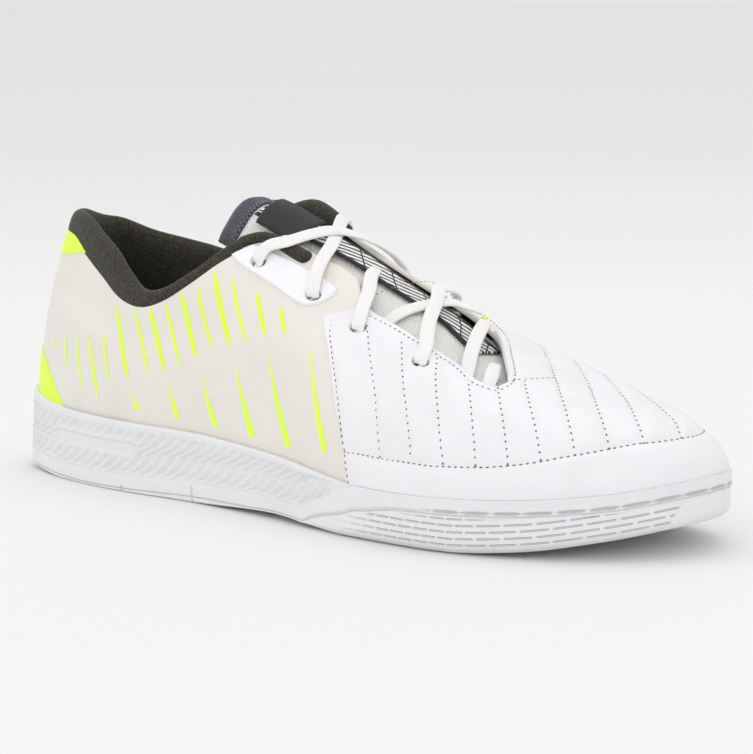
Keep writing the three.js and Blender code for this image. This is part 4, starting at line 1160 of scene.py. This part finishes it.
INNER_SEAM_FOOT = 24  # height at which the seam of the inner side starts
inner_rear = on_inner(leather_inner_line[leather_inner_line[:, 1] > INNER_SEAM_FOOT] + [SEAM_INSET, 0])
THROAT_SEAM_START = 0.568  # share of the length
throat_seam = through(scaled(THROAT, LENGTH, BALL_WIDTH), 220, closed=True)
step = np.roll(throat_seam, -1, axis=0) - np.roll(throat_seam, 1, axis=0)
outward = unit(np.stack([step[:, 1], -step[:, 0]], -1))
centre = throat_seam.mean(0)
if ((throat_seam - centre) * outward).sum() < 0:
    outward = -outward
throat_seam = throat_seam + SEAM_INSET * outward
throat_seam = throat_seam[throat_seam[:, 0] > THROAT_SEAM_START * LENGTH]
turn_at = np.argmax(np.linalg.norm(np.diff(throat_seam, axis=0), axis=1)) + 1
throat_seam = np.roll(throat_seam, -turn_at, axis=0)
throat_seam = np.array([s for s in (ON_LAST.under(x, y) for x, y in throat_seam) if s is not None])

round_seams = quilted + crossing + [spline_on_last(above(*zip(*FAR_SEAM)))]
seam_lines = round_seams + [low_all, front_seam]
trough_lines = [on_skin(s) for s in seam_lines]
edge_lines = [on_skin(s) for s in (rear_seam, throat_seam, inner_rear)]
PUFF, PUFF_HALF = 0.42, 4.2  # how high the leather swells between seams, and how far from them
TROUGH, TROUGH_HALF = 0.5, 1.15  # depth and half width of the quilting's seams
GROOVE, GROOVE_HALF = 0.3, 0.9  # and of those beside the cut edges


def nearest_line(p, lines):
    return np.min([to_line(p, line) for line in lines], axis=0)


def quilting_relief(p, d):
    nearest = nearest_line(p, [line[::2] if len(line) > 8 else line for line in trough_lines])
    beside = nearest_line(p, [line[::2] for line in edge_lines])
    puff = PUFF * (1 - np.exp(-((nearest / PUFF_HALF) ** 2))) * np.clip(d / 4, 0, 1)
    trough = TROUGH * np.exp(-((nearest / TROUGH_HALF) ** 2)) * np.clip(d, 0, 1)
    groove = GROOVE * np.exp(-((beside / GROOVE_HALF) ** 2)) * np.clip(d, 0, 1)
    return puff - trough - groove


LEATHER_TOP = CLEAR + LEATHER
VAMP_START = 5.3  # place where the sheet that the leather is cut from starts
every_seam = [(seam, ROUND_STITCH) for seam in round_seams] + [
    (seam, LONG_STITCH) for seam in (low_all, front_seam, rear_seam, throat_seam, inner_rear)]
vamp_places = np.linspace(VAMP_START, AROUND - VAMP_START, 421)
panel("vamp_leather", [leather_field, throat_field, hole_field], vamp_places, np.linspace(0.0, 1, 72),
      LEATHER_TOP, 1.1, ["leather", "thread"], "leather", "vamp", quilting_relief,
      every_seam)


# Collar and tongue


def turn_where(place, test):
    """The turn of each rib at which a rising test of its points stops being true."""
    low, high = np.zeros(len(place)), np.ones(len(place))
    for _ in range(30):
        mid = (low + high) / 2
        below = test(skin(place, mid))
        low, high = np.where(below, mid, low), np.where(below, high, mid)
    return low


def loops_mesh(loops):
    """Points of neighbouring loops, and faces that join the loops and close both ends."""
    count, n = loops.shape[:2]
    faces = []
    for s in range(0, (count - 1) * n, n):
        faces += [(s + i, s + (i + 1) % n, s + n + (i + 1) % n, s + n + i) for i in range(n)]
    faces.append(tuple(range(n))[::-1])
    faces.append(tuple(range((count - 1) * n, count * n)))
    return loops.reshape(-1, 3), faces


# Rolls of padding along the throat: one in pixels of the photograph, the hidden one in millimetres.
NEAR_WING = [(240, 241), (251, 237), (264, 235), (277, 238.5), (290, 246), (303, 254), (311, 257.5)]
FAR_WING = [
    (98, 14.5, 94), (104, 15, 97.4), (110, 15, 99.6), (115, 15, 100.2), (120, 15, 98.4), (125, 15.5, 95.2),
    (130, 16, 93),
]
WING_HALF, FAR_HALF = 2.3, 3.6  # radius of the near roll and of the far one
WING_STEPS = 60


def wing(heap, route, half, taper):
    """A padded roll with rounded ends through points in space."""
    path = through(route, WING_STEPS)
    t = np.linspace(0, 1, WING_STEPS)
    ways = ways_along(path)
    side = unit(np.cross([0, 0, 1.0], ways))
    up = np.cross(ways, side)
    end = np.sqrt(np.clip(1 - (1 - np.minimum(t + 0.02, 1 - t) / 0.07).clip(0) ** 2, 0.01, 1))
    a = np.linspace(0, 2 * np.pi, 20, endpoint=False)
    size = half * end * (1 + 0.25 * taper * smooth((t - 0.4) / 0.4))
    circle = np.cos(a)[:, None] * side[:, None] + np.sin(a)[:, None] * up[:, None]
    heap.add(*loops_mesh(path[:, None] + size[:, None, None] * circle))


PAD_LOOPS = 241


def collar_padding():
    section = through(COLLAR_SECTION, 44, closed=True)[:-1]
    place = np.linspace(-LINING_END, LINING_END, PAD_LOOPS)
    rib = np.where(place < 0, place + AROUND, place)
    thin = 1 - (1 - PAD_THIN) * smooth((abs(place) - 3) / (LINING_END - 3))
    # The inner edge of the upper is the place where the collar line crosses each rib.
    turn = turn_where(rib, lambda p: p[:, 2] < collar_line(p))
    speed = np.linalg.norm(skin(rib, np.minimum(0.99, turn + 0.01)) - skin(rib, turn - 0.01), axis=1) / 0.02
    roll = COLLAR_ROLL * curve(COLLAR, "roll", skin(rib, turn)[:, 0] / LENGTH)
    depth, climb, drop = section.T
    depth = np.where(drop > 0.07, np.maximum(depth, 0.26), depth)
    rise = climb * roll[:, None] - drop * LINING_DEPTH * (1 + thin[:, None]) / 2
    at = np.clip(turn[:, None] + rise / speed[:, None], 0.05, 0.97)
    deep = depth * COLLAR_PAD * np.where(depth > 0, thin[:, None], 1)
    loops = skin(rib[:, None] + 0 * at, at, -deep)
    step = np.arange(PAD_LOOPS)
    ends = rounding(np.minimum(1, np.minimum(step, step[::-1]) / 2.0))
    middle = loops.mean(1, keepdims=True)
    loops = middle + (loops - middle) * (0.72 + 0.28 * ends[:, None, None])
    points, faces = loops_mesh(loops)
    # Soft unevenness of the padding.
    x, y, z = points.T
    wobble = 0.16 * np.sin(x / 7.1 + z / 5.3) + 0.12 * np.sin(y / 4.7 - x / 11.0)
    centres = np.repeat(middle, loops.shape[1], axis=1).reshape(-1, 3)
    points = points + unit(points - centres) * wobble[:, None]
    heap = Heap()
    heap.add(points, faces)
    # The padding goes on along both edges of the throat.
    near = skin_at_pixels(NEAR_WING) - 1.1 * UP
    wing(heap, near, WING_HALF, 1)
    wing(heap, np.array(FAR_WING), FAR_HALF, 0)
    made = heap.piece("collar_padding", ["fleece"], "lining", ["collar_lining"])


collar_padding()


def tongue_depth(along, drop):
    top = TONGUE_DROP * (1 - smooth((along - TONGUE_TOP) / (TONGUE_LEVEL - TONGUE_TOP)))
    dive = smooth((along - TONGUE_DIVE) / 0.1)
    return top + TONGUE_SINK + (TONGUE_TUCK - TONGUE_SINK) * np.maximum(drop, dive)


def tongue_skew(along):
    """How far ahead the outer edge of the tongue lies, as a share of the length for each of width."""
    return TONGUE_SKEW * (1 - smooth((along - TONGUE_TOP) / (TONGUE_DIVE - TONGUE_TOP)))


def tongue_loops(from_, to, steps, thick=TONGUE_THICK, round_start=0.0, round_end=0.0):
    along = np.linspace(from_, to, steps)[:, None]
    around = np.linspace(-1, 1, 33)
    reach = TONGUE_REACH / BALL_WIDTH
    skew = tongue_skew(along)
    middle = curve(TONGUE, "middle", along)
    run = (along - from_) * LENGTH
    left = (to - along) * LENGTH
    squeeze = np.ones_like(along)
    if round_start:
        squeeze = squeeze * rounding(np.clip(run / round_start, 0, 1))
    if round_end:
        squeeze = squeeze * rounding(np.clip(left / round_end, 0, 1))
    drop = curve(TONGUE_SECTION, "drop", abs(around))
    tops, lows, marks = [], [], []
    side = np.sqrt(np.clip(1 - np.abs(around) ** 14, 0.0, 1))
    for out, d, s in zip(around, drop, side):
        mid_depth = tongue_depth(along[:, 0], d) + thick / 2
        half = thick / 2 * squeeze[:, 0] * (0.12 + 0.88 * s)
        x = along[:, 0] + skew[:, 0] * out * reach
        y = middle[:, 0] + out * reach
        tops.append(off(x, y, -mid_depth + half))
        lows.append(off(x, y, -mid_depth - half))
        marks.append(np.stack([along[:, 0] * LENGTH, np.full(steps, out * TONGUE_REACH), 0 * x], -1))
    loops = np.stack(tops + lows[::-1], 1)
    weave = np.stack(marks + marks[::-1], 1)
    return loops, weave.reshape(-1, 3)


loops, weave = tongue_loops(TONGUE_SPLIT - 0.002, TONGUE_TOE, 72)
points, faces = loops_mesh(loops)
tongue = piece("tongue_pad", points, faces, ["spacer"], ["tongue"], marks={"weave": weave})

KNIT_THICK = TONGUE_THICK + 0.7
loops, weave = tongue_loops(TONGUE_TOP, TONGUE_SPLIT + 0.001, 22, KNIT_THICK, round_start=2.6, round_end=0.6)
points, faces = loops_mesh(loops)
band = Heap()
band.add(points, faces, 0, weave)


def tube(heap, path, radius, look, sides):
    """A thread along a path in space."""
    ways = ways_along(path)
    first = unit(np.cross(ways, [0.03, 0.05, 1.0]))
    second = np.cross(ways, first)
    a = np.linspace(0, 2 * np.pi, sides, endpoint=False)
    circle = np.cos(a)[None, :, None] * first[:, None] + np.sin(a)[None, :, None] * second[:, None]
    heap.add(*loops_mesh(path[:, None] + radius * circle), look)


# A zigzag seam over the knit: shares of the tongue's half width, and of the length.
ZIGS = 58
zig = [(-0.93 + 1.86 * i / ZIGS, TONGUE_SPLIT - (0.0105 if i % 2 else 0.0018)) for i in range(ZIGS + 1)]
reach = TONGUE_REACH / BALL_WIDTH
path = []
for (o0, a0), (o1, a1) in zip(zig, zig[1:]):
    for f in np.linspace(0, 1, 5, endpoint=False):
        out, along = o0 + (o1 - o0) * f, a0 + (a1 - a0) * f
        drop = curve(TONGUE_SECTION, "drop", abs(out))
        depth = tongue_depth(along, drop) + (TONGUE_THICK - KNIT_THICK) / 2 - 0.1
        across = curve(TONGUE, "middle", along) + out * reach
        path.append(off(along + tongue_skew(along) * out * reach, across, -depth))
tube(band, np.array(path).reshape(-1, 3), 0.24, 1, 5)
band.piece("tongue_knit", ["knit", "knit_thread"], "knit", ["tongue_binding"], mark="weave")


BAND_SIDES = 16
TAPER_LENGTH = 6


def flat_band(route, width, thick, steps, taper=1.0):
    """A flat woven band along points in space, square to the last and narrower at its ends by taper."""
    path = through(route, steps)
    ways = ways_along(path)
    found = np.array([ON_LAST.near(p) for p in path])
    side = unit(np.cross(normals_at(found), ways))
    flat = np.cross(ways, side)
    a = np.linspace(0, 2 * np.pi, BAND_SIDES, endpoint=False)
    s = np.sign(np.cos(a)) * abs(np.cos(a)) ** 0.55 * width / 2
    t = np.sign(np.sin(a)) * abs(np.sin(a)) ** 0.75 * thick / 2
    run = length_along(path)
    w = taper + (1 - taper) * smooth(np.minimum(run, run[-1] - run) / TAPER_LENGTH)
    loops = path[:, None] + side[:, None] * s[:, None] * w[:, None, None] + flat[:, None] * t[:, None]
    along, across = np.meshgrid(run, s, indexing="ij")
    weave = np.stack([along, across, np.zeros_like(along)], -1)
    points, faces = loops_mesh(loops)
    return points, faces, weave.reshape(-1, 3)


def on_tongue(along):
    return SOFT_CLEAR + WEB_THICK / 2 - tongue_depth(along, 0)


# The label as the photograph shows it
LABEL_LENGTH = 19
LABEL_SIDES = (-12.5, 6.5)
LABEL_LIFT, LABEL_THICK = 1.0, 0.55
label_from = TONGUE_SPLIT + SOFT_CLEAR / LENGTH
label_to = label_from + LABEL_LENGTH / LENGTH
stops = np.linspace(TONGUE_SPLIT - 0.001, WEB_END, 12)
route = np.array([off(a, curve(STRAP, "middle", a), on_tongue(a) - 0.15).reshape(3) for a in stops])
points, faces, weave = flat_band(route, WEB_WIDTH, WEB_THICK * 0.9, 110)
piece("tongue_strap", points, faces, ["webbing"], ["tongue_webbing"], marks={"weave": weave})

across = np.linspace(*LABEL_SIDES, 21)
rows, weave = [], []
for i, along in enumerate(np.linspace(label_from, label_to, 14)):
    wave = 0.12 * math.sin(i * 0.5)
    rows.append(off(np.full(21, along), across / BALL_WIDTH, on_tongue(along) + LABEL_LIFT + wave))
    weave.append(np.stack([np.full(21, along * LENGTH), across, np.zeros(21)], -1))
top, weave = np.stack(rows), np.stack(weave)
low = top - [0, 0, LABEL_THICK]
points, faces = loops_mesh(np.concatenate([top, low[:, ::-1]], 1))
marks = np.concatenate([weave, weave[:, ::-1]], 1).reshape(-1, 3)
piece("tongue_patch", points, faces, ["label"], ["tongue_label"], marks={"weave": marks})


# Laces

LACE_SEEN = 4.9  # its width in the photograph
LAID = CLEAR + LEATHER + SOFT_CLEAR + LACE_THICK / 2  # height of its middle where it lies on leather
LACE_END = -2.6  # its hidden end under an eyelet, over the last


def dipped(route):
    return [(a, c, LAID - dip * LACE_SAG) for a, c, dip in route]


def into(eyelet):
    a, c = EYELETS[eyelet]
    return [(a, c, LACE_END), (a + 0.0004, c, LAID - 1.6)]


# Each lace as its bars: heights over the last are worked out from dips, raised where one crosses
# over another.
BARS = {
    "lace_top": [
        into(0) + [(0.424, -0.19, LAID + 0.1), (0.444, -0.15, LAID + 0.2), (0.456, -0.07, LAID - 2.1),
                   (0.465, 0.03, LAID - 2.6), (0.486, 0.11, LAID - 1.4), (0.508, 0.185, LAID),
                   (0.519, 0.22, LAID - 1.4), (0.52, 0.225, LACE_END)],
        into(1) + [(0.5, -0.195, LAID + 0.1), (0.493, -0.145, LAID), (0.48, -0.05, LAID - 2.9),
                   (0.465, 0.04, LAID - 3.9), (0.448, 0.11, LAID - 0.9), (0.434, 0.18, LAID + 0.2),
                   (0.43, 0.212, LAID - 1.4), (0.43, 0.215, LACE_END)],
    ],
    "lace_third": [
        into(2) + dipped([(0.58, -0.235, 0), (0.574, -0.2, 0), (0.56, -0.13, 0.35), (0.543, -0.055, 0.5),
                          (0.535, 0.0, 0.62)]),
    ],
    "lace_middle": [
        dipped([(0.596, -0.24, 1.17), (0.601, -0.18, 1.1), (0.606, -0.12, 0.75), (0.613, -0.02, 0.38),
                (0.622, 0.09, 0.1), (0.65, 0.15, -0.05)]),
        into(3) + dipped([(0.673, -0.235, 0), (0.664, -0.2, -0.1), (0.645, -0.12, -0.08),
                          (0.615, 0.03, -0.02), (0.593, 0.13, 0.05), (0.59, 0.23, 0)])
        + [(0.59, 0.252, -2.0)],
    ],
    "lace_sixth": [dipped([(0.732, -0.25, 1.17), (0.722, -0.19, 1.1), (0.706, -0.11, 0.8), (0.685, 0.0, 0.5),
                           (0.668, 0.1, 0)])],
    "lace_low": [dipped([(0.762, -0.26, 1.17), (0.755, -0.2, 1.1), (0.747, -0.15, 0.9), (0.738, -0.1, 0.7)])],
}
for name, bars in BARS.items():
    heap = Heap()
    for bar in bars:
        route = np.array([off(a, c, g).reshape(3) for a, c, g in bar])
        points, faces, weave = flat_band(route, LACE_SEEN, LACE_THICK, 90, taper=0.85)
        heap.add(points, faces, 0, weave)
    heap.piece(name + "_woven", ["lace"], "lace", [name], mark="weave")


# Sole

SIDE_COLUMNS = 960
SLIT_PLACES = [(0.235, 2.2), (0.353, 6.6)]  # share of the length, and height of the slit's top
SLIT_HALF, SLIT_DEPTH = 0.42, 1.1
side_places = np.linspace(0, AROUND, SIDE_COLUMNS, endpoint=False)
for along, _ in SLIT_PLACES:
    p = math.acos(1 - 2 * along) * STATIONS / math.pi
    for middle in (p, AROUND - p):
        side_places = np.append(side_places, middle + np.array([-0.019, -0.013, 0.0, 0.013, 0.019]))
side_places = np.sort(side_places)


def side_run(places):
    """Length around the edge from the back of the heel, in millimetres."""
    fine = np.linspace(0, AROUND, 4801)
    plan = edge(fine)
    run = length_along(plan)
    return np.interp(places, fine, run), run[-1]


def between_loops(n, m):
    """Faces between n neighbouring loops around the shoe, each of m points."""
    return [(s * m + i, (s + 1) % n * m + i, (s + 1) % n * m + i + 1, s * m + i + 1)
            for s in range(n) for i in range(m - 1)]


def bridges(n, m, row):
    """Faces across the shoe, between the points that a row has on either side."""
    return [(i * m + row, (i + 1) * m + row, (n - i - 1) * m + row, (n - i) * m + row)
            for i in range(1, n // 2 - 1)]


def ring(places, insets, heights):
    """Loops around the shoe: rows of insets and heights for each place."""
    flat = edge(np.repeat(places[:, None], insets.shape[1], 1), insets)
    return np.concatenate([flat, heights[..., None]], -1)


LINE_DIP, DIP_MIDDLE, DIP_HALF = 3.0, 184, 13  # how far the step line dips, where, and how widely
LENS_PITCH = 10.4  # of the long recesses over the step
ARC = (10.78, 0.36)  # place of the arc that ends the dashes on the toe, and its slant


def outsole():
    p = side_places
    x = share(p) * LENGTH
    floor, top = floor_height(p), rubber_top(p)
    band = np.maximum(STEP_HEIGHT, top - STEP_DROP - floor)
    round_it = np.minimum(TREAD_ROUND, 0.4 * band)
    # The step line runs smoothly into the cup, where the rubber's top edge has a corner.
    band = band - LINE_DIP * np.exp(-(((x - DIP_MIDDLE) / DIP_HALF) ** 2))
    ledge = floor + band + STEP_HEIGHT
    run, _ = side_run(p)
    rows_in, rows_z = [], []
    # Under the sole, then up the side.
    for out, up in ((1.9, 0.0), (1.35, 0.0), (1.12, 0.004), (1.0, 0.02)):
        rows_in.append(STEP_INSET + out * round_it)
        rows_z.append(floor + up * band)
    for t in np.linspace(0, 1, 30)[1:]:
        turned = np.clip(1 - t / 0.42, 0, 1)
        fillet = 1 - np.sqrt(np.clip(1 - turned ** 2, 0, 1))
        rows_in.append(0.3 + (STEP_INSET - 0.3) * turned + round_it * fillet * 0.9)
        rows_z.append(floor + 0.02 * band + t * band * 0.96)
    for share_in, up in ((0.55, 0.0), (1.0, 0.1), (1.0, 0.35), (0.4, 0.7), (0.08, 1.0)):
        rows_in.append(STEP_INSET * share_in + 0 * p)
        rows_z.append(floor + band + up * STEP_HEIGHT)
    for t in np.linspace(0, 1, 15)[1:]:
        rows_in.append(0.02 * (1 - t) + 0 * p)
        rows_z.append(ledge + t * (top - ledge) * 0.94)
    for inset, up in ((0.1, 0.975), (0.35, 1.0), (LIP, 1.0), (LIP + 0.3, 0.8)):
        rows_in.append(inset + 0 * p)
        rows_z.append(ledge + up * (top - ledge))
    insets, heights = np.stack(rows_in, 1), np.stack(rows_z, 1)
    above_floor = heights - floor[:, None]
    # Slits in the side of the heel.
    for along, tall in SLIT_PLACES:
        near = np.abs(x - along * LENGTH) < SLIT_HALF
        insets += np.where(near[:, None] & (heights < tall), SLIT_DEPTH, 0)
    # Long recesses over the step around the toe, with short bridges between them.
    over = heights - ledge[:, None]
    front = smooth((x - 214) / 4)[:, None]
    beat = (run % LENS_PITCH)[:, None] / LENS_PITCH
    lens = 0.6 * np.sqrt(np.clip(1 - ((beat - 0.5) / 0.46) ** 2, 0, 1))
    groove = front * smooth((lens - np.abs(over - 0.7)) / 0.35 + 0.5) * (lens > 0)
    plain = (1 - front) * smooth((x - 160) / 6)[:, None] * np.exp(-(((over - 0.2) / 0.4) ** 2)) * 0.6
    groove = np.maximum(groove, plain)
    insets += 0.7 * groove
    # Dashes grow longer towards the toe, where an arc ends them.
    to_arc = station(p)[:, None] - ARC[0] - ARC[1] * above_floor / np.maximum(band, 1)[:, None]
    side_face = smooth((above_floor - 1.3) / 0.5) * smooth((ledge[:, None] - 1.1 - heights) / 0.4)
    mask = smooth((x - 172) / 30)[:, None] * side_face * smooth(-to_arc / 0.03 - 1)
    insets += 0.5 * np.exp(-((to_arc / 0.035) ** 2)) * side_face
    longer = DASH_PITCH + 4.5 * smooth((x - 222) / 26)
    warped = np.cumsum(np.gradient(run) * DASH_PITCH / longer)
    # A dark line where the rubber meets the foam, behind the cup.
    joint = (1 - smooth((x - 172) / 10))[:, None] * (heights > ledge[:, None] + 0.96 * (top - ledge)[:, None])
    runs = np.repeat(warped[:, None], insets.shape[1], 1)
    # The third value is the dash mask, less the recesses and the joint line; the rubber's look tints the
    # dashes and the recesses darker, as painted shade.
    side = np.stack([runs, above_floor - 0.25, mask - groove - 0.9 * joint], -1)
    loops = ring(p, insets, heights)
    n, m = loops.shape[:2]
    # The tread closes across from one side to the other.
    tread = [f[::-1] for f in bridges(n, m, 0)] + [((n - 1) * m, m, 0)]
    heap = Heap()
    heap.add(loops.reshape(-1, 3), between_loops(n, m) + tread, 0, side.reshape(-1, 3))
    heap.looks = ([1] + [0] * (m - 2)) * n + [1] * len(tread)
    heap.piece("outsole_rubber", ["rubber", "tread"], "outsole", ["outsole"], mark="side")


outsole()

RECESS = ((59.5, 434.0), (131.0, 449.0))  # its rounded ends in pixels of the photograph
RECESS_HALF = 2.35
RECESS_REACH = 110  # it lies behind this
RIB_PITCH = 5.3
RIB_LEAN = 1.7  # lean towards the toe for each millimetre up


def midsole():
    p = np.linspace(0, AROUND, SIDE_COLUMNS, endpoint=False)
    top, rim = rubber_top(p), rim_height(p)
    wall = rim - top
    run, whole = side_run(p)
    ups = np.concatenate([[-0.12], np.linspace(0, 0.93, 34)])
    heights = top[:, None] + ups * wall[:, None]
    lean = tuck(p)[:, None]
    insets = lean * smooth(ups)[None] + 0.12
    # Slanting ribs in two rows that are set off by half a step.
    along = np.minimum(run, whole - run)[:, None]
    up = heights - top[:, None]
    row = smooth((up - 6.2) / 1.2)
    phase = (along - RIB_LEAN * up - 0.9 * np.sin(2 * np.pi * up / 9)) / RIB_PITCH + 0.5 * row
    wave = 0.5 - 0.5 * np.cos(2 * np.pi * phase)
    fade = smooth((wall - 2.5) / 5)[:, None] * smooth((ups + 0.02) / 0.1) * smooth((0.88 - ups) / 0.1)
    fade = fade * smooth((along - 6) / 14)
    # The recess at the outer side of the heel.
    wall_points = ring(p, 0 * heights + 0.3, heights)
    spot_tris = []
    m = heights.shape[1]
    cols = np.where((p <= STATIONS) & (share(p) * LENGTH < RECESS_REACH))[0]
    for s in cols[:-1]:
        for i in range(m - 1):
            a, b = s * m + i, (s + 1) * m + i
            spot_tris += [(a, b, b + 1), (a, b + 1, a + 1)]
    tree = BVHTree.FromPolygons(wall_points.reshape(-1, 3).tolist(), spot_tris)
    ends = np.array([tree.ray_cast(Vector(EYE), sight(u, v))[0] for u, v in RECESS])
    d = to_line(wall_points.reshape(-1, 3), ends).reshape(heights.shape)
    inner_d = to_line(wall_points.reshape(-1, 3), ends * [1, -1, 1]).reshape(heights.shape)
    bare = smooth((np.minimum(d, inner_d) - RECESS_HALF - 0.6) / 1.6)
    insets = insets + 0.95 * wave * fade * bare
    insets = insets + 0.75 * (1 - smooth((d - RECESS_HALF + 0.35) / 0.5))
    rows_in, rows_z = [insets], [heights]
    for inset, rise in ((0.1, 0.96), (0.32, 0.985), (0.75, 1.0), (1.3, 1.0), (LIP - 0.2, 0.99), (LIP, 0.95)):
        rows_in.append(lean + 0.12 + inset)
        rows_z.append((top + rise * wall)[:, None])
    for inset in (LIP, 9):
        rows_in.append(lean + inset)
        rows_z.append(deck_height(p)[:, None])
    insets, heights = np.concatenate(rows_in, 1), np.concatenate(rows_z, 1)
    heights = np.minimum(heights, rim[:, None])
    loops = ring(p, insets, heights)
    n, m = loops.shape[:2]
    faces = between_loops(n, m) + bridges(n, m, m - 1)
    piece("midsole_foam", loops.reshape(-1, 3), faces, ["foam"], ["midsole"])


midsole()


def insole():
    p = np.linspace(0, AROUND, 240, endpoint=False)
    deck = deck_height(p) + CLEAR
    start = UPPER_INSET + tuck(p) + WALL + SOFT_CLEAR
    profile = [(6, 0.0), (1.0, 0.0), (0.2, 0.4), (0, 1.0), (0, INSOLE + 0.6), (0.5, INSOLE + 1),
               (2.4, INSOLE + 0.7), (6, INSOLE + 0.05), (12, INSOLE)]
    insets = np.stack([start + a for a, _ in profile], 1)
    heights = np.stack([deck + b for _, b in profile], 1)
    loops = ring(p, insets, heights)
    n, m = loops.shape[:2]
    under = [(a, d, c, b) for a, b, c, d in bridges(n, m, 0)]
    faces = between_loops(n, m) + bridges(n, m, m - 1) + under
    made = piece("insole_pad", loops.reshape(-1, 3), faces, ["insole"], ["insole"])


insole()


# Neon loop for the lace

LOOP_PIXEL = (483, 322)
LOOP_HALF, LOOP_RISE, LOOP_SINK = 1.3, 2.2, 0.6
spot = ON_LAST.seen(*LOOP_PIXEL)
normal = skin_normal(*spot)
along = unit(np.cross(normal, np.cross([1.0, 0.35, 0], normal)))
turn = np.linspace(0, math.pi, 9)[:, None]
arch = skin(*spot) + along * LOOP_HALF * np.cos(turn) + normal * (LOOP_RISE * np.sin(turn) - LOOP_SINK)
points, faces, weave = flat_band(arch, 2.2, 0.9, 40)
piece("lace_loop", points, faces, ["neon"], marks={"weave": weave})


# Floor, light and camera

bpy.ops.mesh.primitive_plane_add(size=60, location=(0, 0, 0))
floor = bpy.context.object
floor.name = "studio_floor"
floor.data.materials.append(LOOKS["floor"].material)

world = bpy.data.worlds.new("studio")
bpy.context.scene.world = world
world.use_nodes = True
world.node_tree.nodes["Background"].inputs["Color"].default_value = (1.0, 0.995, 1.0, 1.0)
world.node_tree.nodes["Background"].inputs["Strength"].default_value = 0.9


def softbox(name, place, target, size, power):
    data = bpy.data.lights.new(name, "AREA")
    data.shape, data.size, data.energy = "DISK", size, power
    lamp = bpy.data.objects.new(name, data)
    bpy.context.collection.objects.link(lamp)
    lamp.location = place
    lamp.rotation_euler = (Vector(target) - Vector(place)).to_track_quat("-Z", "Y").to_euler()


softbox("top_box", (0.1, 0.25, 1.5), (0, 0, 0.04), 1.1, 3.2)
softbox("front_box", (1.0, -1.5, 0.9), (0, 0, 0.05), 0.9, 3.5)
softbox("left_box", (-1.1, -0.9, 1.1), (0, 0, 0.05), 0.9, 2.6)

camera_data = bpy.data.cameras.new("camera")
camera = bpy.data.objects.new("camera", camera_data)
bpy.context.collection.objects.link(camera)
bpy.context.scene.camera = camera
camera_data.sensor_fit = "HORIZONTAL"
camera_data.sensor_width = SENSOR
camera_data.lens = SENSOR * FOCAL / FRAME_WIDTH
camera_data.clip_end = 200
camera.location = metres(EYE)
camera.rotation_euler = Vector(-BACK).to_track_quat("-Z", "Y").to_euler()
bpy.context.scene.view_settings.view_transform = "Standard"
